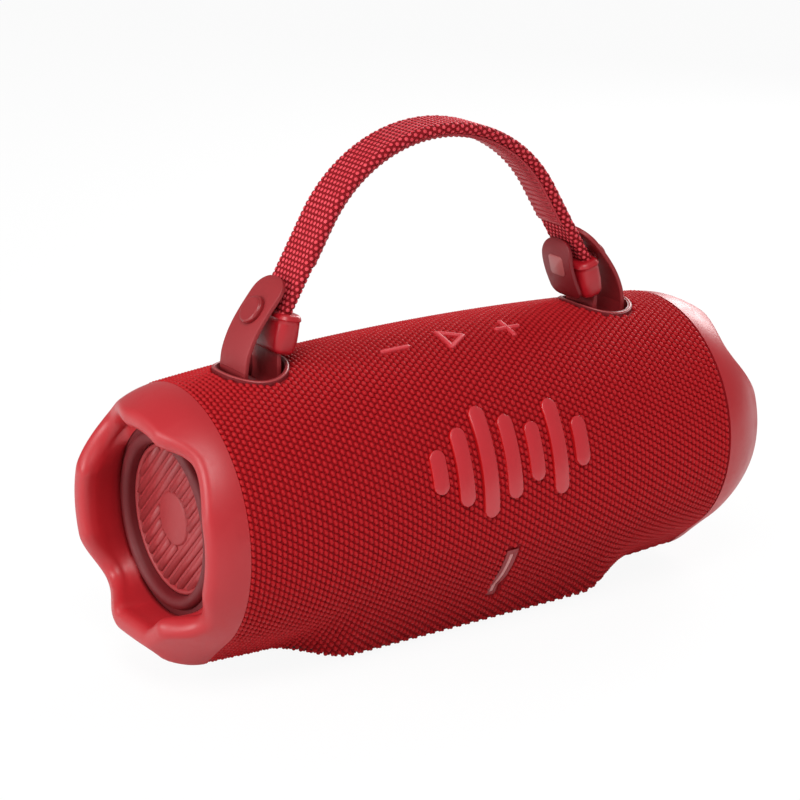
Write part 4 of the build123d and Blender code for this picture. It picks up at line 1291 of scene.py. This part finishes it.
@dataclass
class Badge:
    """Row of raised rounded bars on the front, with a painted glow along their edges."""

    barrel: Barrel
    heights: tuple[float, ...] = (14.0, 25.0, 36.0, 27.0, 19.0, 31.0, 16.0)
    width: float = 5.6
    pitch: float = 9.2
    angle: float = 72.0
    rise: float = 0.95
    middle_x: float = 0.5

    def bar(self, mesh: Mesh, x: float, height: float) -> None:
        """Add one bar that follows the skin.

        Args:
            mesh: the mesh that takes the faces.
            x: the bar's middle along the barrel.
            height: length of the bar round the barrel.
        """
        b = self.barrel
        r = b.radius(x)
        round_r = self.width / 2
        half = height / 2
        stations = [half - round_r * (1 - math.cos(math.pi / 2 * i / 7)) for i in range(8)]
        line = sorted({-s for s in stations} | set(stations) | {half * k / 10 * 0.8 for k in range(-9, 10)})
        rings = []
        for s in line:
            over = max(0.0, abs(s) - (half - round_r))
            w = math.sqrt(max(0.02, round_r ** 2 - over ** 2))
            side = min(1.0, w / round_r)
            top = self.rise if w > 0.5 else self.rise * 0.6
            edge = min(0.35, w * 0.5)
            cut = [(-w, -0.6), (-w, top - 0.35), (-w + edge * 0.3, top - 0.1), (-w + edge, top)]
            cut += [(0.0, top + 0.03 * side)]
            cut += [(w - edge, top), (w - edge * 0.3, top - 0.1), (w, top - 0.35), (w, -0.6)]
            angle = self.angle + math.degrees(s / r)
            rings.append([b.point(x + u, angle, h) for u, h in cut])
        base = len(mesh.faces)
        mesh.rings(rings)
        # Sides, lower bevels, underside and end faces take slot 1, a saturated red that is a painted glow
        # along the bars' edges.
        for i in range(base, len(mesh.faces)):
            corner = (i - base) % len(rings[0])
            mesh.slots[i] = 1 if corner in (0, 1, 6, 7, 8) else 0

    def build(self, paints: Paints) -> None:
        """Make the badge.

        Args:
            paints: the finishes by name.
        """
        mesh = Mesh()
        middle = (len(self.heights) - 1) / 2
        for i, height in enumerate(self.heights):
            self.bar(mesh, self.middle_x + (i - middle) * self.pitch, height)
        badge = mesh.build("badge_bars", [paints["badge_red"], paints["badge_edge"]], 50.0)
        seat(badge, "speaker", "badge_red", "front_badge")


class Sign(Enum):
    """Symbols of the top keys, as strokes of (x, y) points with y towards the rear."""

    MINUS = (((-4.8, 0.0), (4.8, 0.0)),)
    PLUS = (((-4.2, 0.0), (4.2, 0.0)), ((0.0, -4.2), (0.0, 4.2)))
    PLAY = (((-3.6, 4.6), (3.7, 0.0), (-3.6, -4.6), (-3.6, 4.6)),)


@dataclass
class TopKeys:
    """Raised symbols that press in through the sleeve."""

    barrel: Barrel
    angle: ClassVar[float] = 15.0
    middles: ClassVar[tuple[float, ...]] = (-22.0, 0.5, 22.0)
    pad_r: ClassVar[float] = 7.1
    pad_gap: float = 0.1
    half_stroke: float = 0.85
    rise: float = 0.75

    def stroke(self, mesh: Mesh, x0: float, a: Sequence[float], c: Sequence[float]) -> None:
        """Add one rounded ridge between two points of a symbol.

        Args:
            mesh: the mesh that takes the faces.
            x0: the key's place along the barrel.
            a: first point.
            c: second point.
        """
        b = self.barrel
        r = b.radius(x0)
        start, stop = Vector(a), Vector(c)
        run = (stop - start).normalized()
        side = Vector((-run.y, run.x))
        rings = []
        length = (stop - start).length
        ends = [-self.half_stroke * math.cos(math.pi / 2 * i / 5) for i in range(6)]
        line = ends + [length * k / 8 for k in range(1, 8)] + [length - e for e in reversed(ends)]
        for s in line:
            over = max(0.0, -s, s - length)
            w = math.sqrt(max(0.01, self.half_stroke ** 2 - over ** 2))
            top = self.rise * (0.55 + 0.45 * w / self.half_stroke)
            ring = []
            for u, h in ((-w, -0.8), (-w, top - 0.4), (-w * 0.8, top - 0.12), (-w * 0.4, top), (w * 0.4, top),
                         (w * 0.8, top - 0.12), (w, top - 0.4), (w, -0.8)):
                p = start + run * s + side * u
                ring.append(b.point(x0 + p.x, self.angle - math.degrees(p.y / r), h))
            rings.append(ring)
        mesh.rings(rings)

    def pad(self, node: str, x0: float, paints: Paints) -> bpy.types.Object:
        """Round piece of the sleeve's ground that moves with its key.

        Args:
            node: the key's node.
            x0: the key's place along the barrel.
            paints: the finishes by name.

        Returns:
            The pad.
        """
        b = self.barrel
        r = b.radius(x0)
        mesh = Mesh()
        rings = []
        top = -Sleeve.ground_inset
        low = top - Sleeve.ground_t
        for share, height in ((0.01, top), (0.5, top), (1.0, top), (1.0, low), (0.5, low), (0.01, low)):
            reach = (self.pad_r - self.pad_gap) * share
            rings.append([b.point(x0 + reach * c, self.angle + math.degrees(math.asin(reach * d / r)), height)
                          for c, d in circle(40)])
        mesh.rings(rings)
        return mesh.build(node + "_pad", [paints["knit_ground"]])

    def build(self, paints: Paints) -> None:
        """Make the three symbols.

        Args:
            paints: the finishes by name.
        """
        rows = zip(("minus_key", "play_key", "plus_key"), self.middles, (Sign.MINUS, Sign.PLAY, Sign.PLUS))
        for node, x, sign in rows:
            mesh = Mesh()
            for path in sign.value:
                for a, c in zip(path, path[1:]):
                    self.stroke(mesh, x, a, c)
            piece = mesh.build(node + "_sign", [paints["key_red"]], 50.0)
            body = "key" + node.split("_")[0]
            seat(piece, body, "key_red", node)
            seat(self.pad(node, x, paints), body, "key_red")


class ChargeLight:
    """Slim light on the front of the keel."""

    def build(self, frame: dict[str, Any], paints: Paints) -> None:
        """Dress the bezel and its light pipe."""
        dress(frame, paints["bezel_red"], "led_bezel")
        dress(frame, paints["light_pipe"], "led_light_guide")
        dress(frame, paints["board_green"], "led_board")


# ---------------------------------------------------------------- strap


@dataclass
class Strap:
    """Woven carrying strap with its grip, clips, tabs and snaps."""

    width: float = 16.0
    thick: float = 5.0
    grip_t: float = 1.4
    grip_w: float = 12.6
    arch_r: float = 49.3
    arch_z: float = 114.4
    half_turn: float = 59.5
    to_clip: float = 36.9
    clip_l: float = 12.6
    clip_w: float = 21.0
    clip_t: float = 8.8
    grip_leg: float = 14.0
    dot_pitch: float = 1.75
    clip_lean: float = 13.0
    tab_t: float = 1.6
    tab_w: float = 15.5
    tuck: float = 3.5
    band_steps: int = 150
    dot_half: Point = (0.82, 0.86, 0.34)
    rib_pitch: float = 2.2
    rib_half: tuple[float, float] = (0.72, 0.52)
    snap_aim: tuple[float, float] = (66.3, 114.2)
    snap_shape: tuple[tuple[float, float], ...] = (
        (0.3, 0.4), (4.3, 0.5), (4.5, 0.9), (4.5, 1.9), (4.25, 2.2), (3.7, 2.3), (3.3, 2.1), (3.0, 2.0),
        (0.3, 2.0))
    clip_shape: tuple[tuple[float, float], ...] = (
        (0.0, 2.6), (0.0, 0.9), (0.05, 0.35), (0.12, 0.0), (0.17, 0.45), (0.25, 0.35), (0.6, 0.2),
        (0.86, 0.5), (0.94, 0.9), (0.985, 1.4), (1.0, 2.2))
    leaf_knots: tuple[tuple[float, float], ...] = (
        (73.1, 101.0), (70.9, 106.3), (67.8, 111.2), (64.0, 116.0), (60.1, 120.4))

    @property
    def arc(self) -> float:
        """Length of half of the arch."""
        return math.radians(self.half_turn) * self.arch_r

    def at(self, s: float) -> tuple[Vector, Vector, Vector]:
        """Middle point, direction and outward normal at a run s from the top, towards +X.

        Args:
            s: run from the top of the arch, towards +X.

        Returns:
            Point, direction and normal.
        """
        sign = math.copysign(1.0, s)
        run = abs(s)
        a = math.radians(self.half_turn)
        if run <= self.arc:
            t = run / self.arch_r
            out = Vector((math.sin(t), 0, math.cos(t)))
            place = Vector((0, 0, self.arch_z)) + out * self.arch_r
            along = Vector((math.cos(t), 0, -math.sin(t)))
        else:
            out = Vector((math.sin(a), 0, math.cos(a)))
            along = Vector((math.cos(a), 0, -math.sin(a)))
            place = Vector((0, 0, self.arch_z)) + out * self.arch_r + along * (run - self.arc)
        place.x *= sign
        out.x *= sign
        along.x *= sign
        return place, along, out

    def place(self, s: float, y: float, height: float) -> Point:
        """Point beside the strap's middle line."""
        middle, _, out = self.at(s)
        p = middle + out * height
        return p.x, y, p.z

    def hang(self, end: End, run: float, y: float, height: float) -> Point:
        """Point in the clip's own directions, from its top end downwards.

        Args:
            end: the end of the barrel.
            run: millimetres down from the clip's top.
            y: place across the strap.
            height: millimetres outwards.

        Returns:
            The point.
        """
        top = self.at(self.arc + self.to_clip - self.clip_l / 2)[0]
        a = math.radians(self.clip_lean)
        x = top.x + run * math.sin(a) + height * math.cos(a)
        return end.value * x, y, top.z - run * math.cos(a) + height * math.sin(a)

    def webbing(self, paints: Paints) -> None:
        """Woven band and its raised dots.

        Args:
            paints: the finishes by name.
        """
        thick = self.thick - self.grip_t
        lift = self.grip_t / 2
        reach = self.arc + self.to_clip - self.clip_l / 2 + self.tuck
        section = rounded_section(self.width - 0.5, thick - 0.5, (thick - 0.5) * 0.45)
        mesh = Mesh()
        count = self.band_steps
        rings = [[self.place(mix(-reach, reach, i / count), y, lift + h) for y, h in section]
                 for i in range(count + 1)]
        mesh.rings(rings)
        band = mesh.build("strap_band", [paints["strap_ground"]], 60.0)
        seat(band, "handle", "strap_weave", "strap_webbing")
        places, outs, leans = [], [], []
        outline = self.around(self.width - 0.5, thick - 0.5, (thick - 0.5) * 0.45, self.dot_pitch / 2)
        rows = int(2 * reach / self.dot_pitch)
        for i in range(rows):
            s = -reach + self.dot_pitch * (i + 0.5)
            _, along, out = self.at(s)
            for k, (y, h, ny, nh) in enumerate(outline):
                if (i + k) % 2:
                    continue
                places.append(self.place(s, y, lift + h))
                outs.append(tuple(out * nh + Vector((0, ny, 0))))
                leans.append(tuple(along))
        base = carrier("dots", places, out=outs, lean=leans)
        dots = bead_tree().bake("strap_dots", base, {
            "Half width": self.dot_half[0] * MM, "Half length": self.dot_half[1] * MM,
            "Half height": self.dot_half[2] * MM, "Finish": paints["strap_dots"]})
        seat(dots, "handle", "strap_weave")

    @staticmethod
    def around(width: float, height: float, radius: float,
               pitch: float) -> list[tuple[float, float, float, float]]:
        """Even points round a rounded section, each with its outward normal.

        Args:
            width: width of the section.
            height: height of the section.
            radius: radius of its corners.
            pitch: distance between points.

        Returns:
            Points as (y, height, normal y, normal height).
        """
        outline = rounded_section(width, height, radius, 8)
        closed = outline + outline[:1]
        total = sum(math.dist(a, b) for a, b in zip(closed, closed[1:]))
        count = int(total / pitch / 2) * 2
        result = []
        for i in range(count):
            want, a, b = total * i / count, closed[0], closed[1]
            for a, b in zip(closed, closed[1:]):
                step = math.dist(a, b)
                if want <= step:
                    break
                want -= step
            t = want / max(1e-9, math.dist(a, b))
            y, h = mix(a[0], b[0], t), mix(a[1], b[1], t)
            ny, nh = b[1] - a[1], a[0] - b[0]
            n = math.hypot(ny, nh)
            result.append((y, h, ny / n, nh / n))
        return result

    def grip(self, paints: Paints) -> None:
        """Ribbed pad under the arch.

        Args:
            paints: the finishes by name.
        """
        reach = self.arc + self.grip_leg
        low = -self.thick / 2
        section = rounded_section(self.grip_w, 0.9, 0.4)
        mesh = Mesh()
        count = 90
        mesh.rings([[self.place(mix(-reach, reach, i / count), y, low + 0.95 + h) for y, h in section]
                    for i in range(count + 1)])
        pad = mesh.build("strap_pad", [paints["grip_rubber"]], 60.0)
        seat(pad, "handle", "foot_rubber", "strap_grip")
        places, outs, leans, sizes = [], [], [], []
        ribs = int(2 * reach / self.rib_pitch)
        for i in range(ribs):
            s = -reach + self.rib_pitch * (i + 0.5)
            _, _, out = self.at(s)
            places.append(self.place(s, 0.0, low + 0.55))
            outs.append(tuple(-out))
            leans.append((0.0, 1.0, 0.0))
            sizes.append((self.rib_half[0] * MM, self.rib_half[1] * MM, (self.grip_w / 2 - 0.6) * MM))
        base = carrier("grip_ribs", places, out=outs, lean=leans, reach=sizes)
        bars = bar_tree().bake("strap_pad_ribs", base, {"Finish": paints["grip_rubber"]})
        seat(bars, "handle", "foot_rubber")

    def clip(self, end: End, paints: Paints) -> None:
        """Glossy sleeve that joins the band to its tab.

        Args:
            end: the end of the barrel.
            paints: the finishes by name.
        """
        mesh = Mesh()
        rings = []
        for t, inset in self.clip_shape:
            section = rounded_section(self.clip_w - 2 * inset, self.clip_t - 2 * min(inset, 2.0),
                                      max(0.6, 3.4 - inset), 6)
            rings.append([self.hang(end, self.clip_l * t, y, h) for y, h in section])
        mesh.rings(rings)
        piece = mesh.build("clip_" + end.word, [paints["clip_gloss"]], 50.0)
        seat(piece, "handle", "clip_gloss", "strap_clip_" + end.word)

    def ribbon(self, mesh: Mesh, line: Sequence[tuple[float, float]], sign: int, tip: float = 0.0,
               start_round: float = 0.0, width: float | None = None, slot: int = 0) -> None:
        """Add a flat strip along a line of (x, z) points, rounded at its ends.

        Args:
            mesh: where the strip goes.
            line: points of its middle line.
            sign: which end of the barrel it is at.
            tip: radius by which the last end is rounded.
            start_round: the same for the first end.
            width: its width.
            slot: its material slot.
        """
        wide = width or self.tab_w
        runs = [0.0]
        for a, b in zip(line, line[1:]):
            runs.append(runs[-1] + math.dist(a, b))
        total = runs[-1]
        rings = []
        for i, (x, z) in enumerate(line):
            a, b = line[max(0, i - 1)], line[min(len(line) - 1, i + 1)]
            dx, dz = b[0] - a[0], b[1] - a[1]
            n = math.hypot(dx, dz)
            nx, nz = dz / n, -dx / n
            half = wide / 2
            for edge, left in ((tip, total - runs[i]), (start_round, runs[i])):
                if edge and left < edge:
                    half -= edge - math.sqrt(max(0.0, edge ** 2 - (edge - left) ** 2))
            t = self.tab_t / 2
            r = min(0.45, t * 0.7)
            ring = rounded_section(max(0.6, 2 * half), 2 * t, r, 3)
            rings.append([(sign * (x + nx * h), y, z + nz * h) for y, h in ring])
        mesh.rings(rings, slot)

    def loop_line(self) -> list[tuple[float, float]]:
        """Middle line of the tab from the clip, round the bar, to the leaf's hinge, at the right end.

        Returns:
            Points of the line, as (x, z).
        """
        low, high = box_mm("strap_tab_right")
        half = self.tab_t / 2
        r = (high[0] - low[0]) / 2 - half
        cx, cz = (low[0] + high[0]) / 2, low[2] + r + half
        line = [(low[0] + half, high[2]), (low[0] + half, mix(high[2], cz, 0.5))]
        for i in range(17):
            a = math.pi + math.pi * i / 16
            line.append((cx + r * math.cos(a), cz + r * math.sin(a)))
        line.append((high[0] - half, box_mm("snap_leaf_right")[0][2]))
        return line

    def leaf_line(self) -> list[tuple[float, float]]:
        """Middle line of the outer leaf, at the right end."""
        low, high = box_mm("snap_leaf_right")
        start = (high[0] - self.tab_t / 2, low[2])
        return smooth_path((start, *self.leaf_knots, (low[0] + 1.4, high[2] - 0.9)), 6)

    def tab(self, end: End, paints: Paints) -> None:
        """Rubber tab round the bar, and its outer leaf with the snap.

        Args:
            end: the end of the barrel.
            paints: the finishes by name.
        """
        mesh = Mesh()
        self.ribbon(mesh, self.loop_line(), end.value)
        piece = mesh.build("tab_" + end.word, [paints["tab_tpu"]], 50.0)
        seat(piece, "handle", "tab_tpu", "strap_tab_" + end.word)
        mesh = Mesh()
        self.ribbon(mesh, self.leaf_line(), end.value, tip=6.5)
        leaf = mesh.build("leaf_" + end.word, [paints["tab_tpu"]], 50.0)
        seat(leaf, "leaf_" + end.word, "tab_tpu", "snap_leaf_" + end.word)

    def inner_leaf(self, end: End, paints: Paints) -> bpy.types.Object:
        """Leaf on the inside of the clip; the right one bulges and has a pale plate let into it.

        Args:
            end: the end of the barrel.
            paints: the finishes by name.

        Returns:
            The leaf.
        """
        mesh = Mesh()
        low = self.clip_l
        deep = -self.clip_t / 2 - self.tab_t / 2
        knots = ((low, deep + 1.0), (low - 4.0, deep), (low - 9.0, deep - 0.9), (low - 14.0, deep - 1.1),
                 (low - 18.0, deep - 0.2), (low - 20.5, deep + 1.2))
        wide = self.tab_w
        if end is End.LEFT:
            knots = ((low - 0.5, deep + 0.3), (low - 5.0, deep + 0.2), (low - 10.5, deep + 0.3))
            wide = 12.0
        line = []
        for run, height in smooth_path(knots, 6):
            p = self.hang(End.RIGHT, run, 0.0, height)
            line.append((p[0], p[2]))
        self.ribbon(mesh, line, end.value, tip=wide / 2.6, start_round=3.0, width=wide)
        if end is End.RIGHT:
            rings = []
            for height, inset in ((deep - 1.2, 0.0), (deep - 1.95, 0.0), (deep - 2.1, 0.25)):
                outline = rounded_section(7.0 - 2 * inset, 7.6 - 2 * inset, 1.4 - inset)
                rings.append([self.hang(end, low - 12.0 - u, y, height) for u, y in outline])
            mesh.rings(rings, 1)
        return mesh.build("inner_leaf_" + end.word, [paints["leaf_dark"], paints["plate_pale"]], 50.0)

    def snap(self, end: End, frame: dict[str, Any], paints: Paints) -> None:
        """Round cap of the snap with a dished face, on the leaf.

        Args:
            end: the end of the barrel.
            frame: the loaded frame.
            paints: the finishes by name.
        """
        line = self.leaf_line()
        middle = min(line, key=lambda p: math.dist(p, self.snap_aim))
        i = line.index(middle)
        a, b = line[i - 1], line[i + 1]
        along = Vector((b[0] - a[0], 0, b[1] - a[1])).normalized()
        out = Vector((along.z, 0, -along.x))
        base = Vector((middle[0], 0, middle[1]))
        mesh = Mesh()
        rings = []
        for radius, height in self.snap_shape:
            ring = []
            for c, d in circle(40):
                p = base + out * height + along * (radius * c) + Vector((0, radius * d, 0))
                ring.append((end.value * p.x, p.y, p.z))
            rings.append(ring)
        mesh.rings(rings)
        cap = mesh.build("snap_cap_" + end.word, [paints["snap_red"]], 40.0)
        seat(cap, "leaf_" + end.word, "snap_red")
        dress(frame, paints["snap_red"], "snap_rivet_" + end.word)

    def build(self, frame: dict[str, Any], paints: Paints) -> None:
        """Make the whole strap.

        Args:
            frame: the loaded frame.
            paints: the finishes by name.
        """
        self.webbing(paints)
        self.grip(paints)
        inner = []
        for end in End:
            self.clip(end, paints)
            self.tab(end, paints)
            self.snap(end, frame, paints)
            inner.append(self.inner_leaf(end, paints))
        for piece in inner:
            seat(piece, "handle", "tab_tpu", "strap_keepers")
        dress(frame, paints["snap_red"], "snap_sockets")


@dataclass
class Pockets:
    """Oval cups under the strap's ends, with a slim rim painted pale as a highlight."""

    barrel: Barrel
    rim_r: float = 0.5
    inset: float = 0.7
    rise: float = 0.35

    def rim(self, end: End, paints: Paints) -> None:
        """Slim rim that follows the skin round the cup's mouth, painted pale as a highlight along the lip.

        Args:
            end: the end of the barrel.
            paints: the finishes by name.
        """
        cx, rx, ry = pocket_mm(end)
        rx, ry = rx - self.inset, ry - self.inset
        mesh = Mesh()
        rings = []
        for c, d in circle(96):
            x, y = cx + rx * c, ry * d
            r = self.barrel.radius(x) + self.rise
            z = self.barrel.axis_z + math.sqrt(r * r - y * y)
            side = Vector((c / rx, d / ry, 0.0)).normalized()
            rings.append([tuple(Vector((x, y, z)) + side * (self.rim_r * u) + Vector((0, 0, self.rim_r * v)))
                          for u, v in circle(12)])
        mesh.rings(rings, loop=True)
        # the rim's pale colour is a painted highlight along the lip
        piece = mesh.build("pocket_rim_" + end.word, [paints["pocket_rim"]], 80.0)
        seat(piece, "speaker", "pocket_red")

    def build(self, frame: dict[str, Any], paints: Paints) -> None:
        """Dress the cups and the bars, and add the rims.

        Args:
            frame: the loaded frame.
            paints: the finishes by name.
        """
        dress(frame, paints["pocket_red"], "strap_pocket_left", "strap_pocket_right")
        dress(frame, paints["pocket_red"], "anchor_bars")
        for end in End:
            self.rim(end, paints)


# ---------------------------------------------------------------- rear, foot, inside


@dataclass
class RearStrip:
    """Rubber strip at the rear with three keys and the charging socket."""

    barrel: Barrel

    def icon(self, mesh: Mesh, x: float, y: float, paths: Sequence[Sequence[tuple[float, float]]]) -> None:
        """Add raised line work to a key, facing the rear.

        Args:
            mesh: the mesh that takes the faces.
            x: middle of the key.
            y: face of the key.
            paths: lines of (x, y) points.
        """
        for path in paths:
            for a, b in zip(path, path[1:]):
                start, stop = Vector(a), Vector(b)
                run = (stop - start).normalized()
                side = Vector((-run.y, run.x)) * 0.28
                corners = [start - side, stop - side, stop + side, start + side]
                rings = [[(x - c.x, y + h, self.barrel.axis_z + c.y) for c in corners] for h in (-0.4, 0.22)]
                mesh.rings(rings)

    def build(self, frame: dict[str, Any], paints: Paints) -> None:
        """Dress the strip and mark its keys.

        Args:
            frame: the loaded frame.
            paints: the finishes by name.
        """
        dress(frame, paints["strip_rubber"], "rear_panel")
        arc = [(2.2 * math.sin(math.radians(a)), 2.2 * math.cos(math.radians(a)) - 0.2)
               for a in range(40, 321, 20)]
        signs = {
            "power_key": (arc, ((0.0, 0.4), (0.0, 2.6))),
            "pair_key": (((-2.4, -1.4), (0.0, 1.4), (2.4, -1.4)), ((-1.2, -2.2), (1.2, -2.2))),
            "link_key": tuple([(cx + 1.5 * math.cos(math.radians(a)), 1.5 * math.sin(math.radians(a)))
                               for a in range(0, 361, 24)] for cx in (-1.0, 1.0)),
        }
        for node, paths in signs.items():
            dress(frame, paints["key_red"], node)
            low, high = box_mm(node)
            mesh = Mesh()
            self.icon(mesh, (low[0] + high[0]) / 2, high[1] - 0.12, paths)
            piece = mesh.build(node + "_sign", [paints["pocket_rim"]], 30.0)
            seat(piece, "key" + node.split("_")[0], "key_red")
        dress(frame, paints["steel"], "usb_shell")
        dress(frame, paints["chip_black"], "usb_tongue")


class Inside:
    """Pieces that the shell hides, each in its own finish."""

    finishes = {
        "dark_plastic": ("main_shell", "radiator_frames", "baffle", "woofer_frame", "battery_case",
                         "battery_cradle", "tweeter_body"),
        "foot_rubber": ("base_foot",),
        "board_green": ("key_board", "main_board"),
        "chip_black": ("switches", "board_parts"),
        "steel": ("inner_screws", "radiator_screws", "woofer_pole", "radiator_weight_left",
                  "radiator_weight_right"),
        "ferrite": ("woofer_magnet",),
        "cone_grey": ("woofer_cone", "woofer_dust_cap"),
        "surround_rubber": ("woofer_surround",),
        "copper": ("woofer_coil",),
        "dome_silk": ("tweeter_dome",),
        "cell_sleeve": ("battery_cells",),
        "aluminium": ("heat_sink",),
    }

    def build(self, frame: dict[str, Any], paints: Paints) -> None:
        """Dress every hidden piece."""
        for finish, nodes in self.finishes.items():
            dress(frame, paints[finish], *nodes)
            LOG.info("%s: %s", finish, ", ".join(nodes))


# ---------------------------------------------------------------- studio


@dataclass
class Studio:
    """Pale floor, soft lamps and the camera."""

    azimuth: float = -33.88
    elevation: float = 18.02
    distance: float = 817.15
    target: Point = (-11.89, 0.0, 74.85)
    lens: float = 112.81
    sensor: float = 36.0
    floor_glow: float = 0.93
    sky: float = 0.36
    lamps: tuple[tuple[str, Point, Point, float, float], ...] = (
        ("key", (-350.0, -500.0, 900.0), (0.0, 0.0, 50.0), 7.0, 500.0),
        ("left", (-900.0, 150.0, 350.0), (-60.0, 0.0, 60.0), 4.5, 350.0),
        ("right", (700.0, 350.0, 420.0), (60.0, 0.0, 60.0), 5.0, 350.0))

    def floor(self) -> None:
        """Wide pale floor that keeps the speaker's shadow."""
        s = Shader("floor_pale")
        white = s.node("ShaderNodeEmission", inputs={"Color": (1, 1, 1, 1), "Strength": 1.0})
        matt = s.node("ShaderNodeBsdfDiffuse", inputs={"Color": linear(250, 250, 250)})
        seen = s.node("ShaderNodeLightPath", output="Is Camera Ray")
        share = seen * self.floor_glow
        s.node_output(s.node("ShaderNodeMixShader", inputs={0: share, 1: matt, 2: white}))
        mesh = Mesh()
        mesh.add([(-3000, -3000, 0), (3000, -3000, 0), (3000, 3000, 0), (-3000, 3000, 0)], [(0, 1, 2, 3)])
        mesh.build("floor", [s.material])

    def world(self) -> None:
        """Even light from all round, seen as white by the camera."""
        world = bpy.data.worlds.new("studio")
        world.use_nodes = True
        tree = world.node_tree
        tree.nodes.clear()
        path = tree.nodes.new("ShaderNodeLightPath")
        both = tree.nodes.new("ShaderNodeMixShader")
        for socket, strength in ((1, self.sky), (2, 1.0)):
            light = tree.nodes.new("ShaderNodeBackground")
            light.inputs["Color"].default_value = (1, 1, 1, 1)
            light.inputs["Strength"].default_value = strength
            tree.links.new(light.outputs[0], both.inputs[socket])
        out = tree.nodes.new("ShaderNodeOutputWorld")
        tree.links.new(path.outputs["Is Camera Ray"], both.inputs[0])
        tree.links.new(both.outputs[0], out.inputs["Surface"])
        bpy.context.scene.world = world

    def lamp(self, name: str, place: Point, aim: Point, power: float, size: float) -> None:
        """Add one soft square lamp, placed and aimed in millimetres.

        Args:
            name: its name.
            place: where it stands.
            aim: what it points at.
            power: its power in watts.
            size: its side in millimetres.
        """
        data = bpy.data.lights.new(name, "AREA")
        data.energy = power
        data.size = size * MM
        lamp = link(name, data)
        lamp.location = [c * MM for c in place]
        towards = Vector(aim) - Vector(place)
        lamp.rotation_euler = towards.to_track_quat("-Z", "Y").to_euler()

    def camera(self) -> None:
        """Place the camera on its line of sight."""
        data = bpy.data.cameras.new("camera")
        data.lens = self.lens
        data.sensor_width = self.sensor
        data.clip_end = 20.0
        camera = link("camera", data)
        az, el = math.radians(self.azimuth), math.radians(self.elevation)
        back = Vector((math.sin(az) * math.cos(el), -math.cos(az) * math.cos(el), math.sin(el)))
        camera.location = (Vector(self.target) + back * self.distance) * MM
        camera.rotation_euler = (-back).to_track_quat("-Z", "Y").to_euler()
        bpy.context.scene.camera = camera

    def build(self) -> None:
        """Set up floor, light and camera."""
        self.floor()
        self.world()
        self.camera()
        for lamp in self.lamps:
            self.lamp(*lamp)
        bpy.context.scene.view_settings.view_transform = "Standard"


def main() -> None:
    """Build the speaker and report each piece."""
    logging.basicConfig(level=logging.INFO, format="%(name)s: %(message)s")
    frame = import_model()
    paints = Paints()
    studio = Studio()
    studio.build()
    barrel = Barrel()
    Sleeve(barrel).build(paints)
    for end in End:
        EndRing(barrel, end).build(paints)
        Radiator(barrel, end).build(paints)
    Badge(barrel).build(paints)
    TopKeys(barrel).build(paints)
    ChargeLight().build(frame, paints)
    Pockets(barrel).build(frame, paints)
    Strap().build(frame, paints)
    RearStrip(barrel).build(frame, paints)
    Inside().build(frame, paints)


if __name__ == "__main__":
    main()
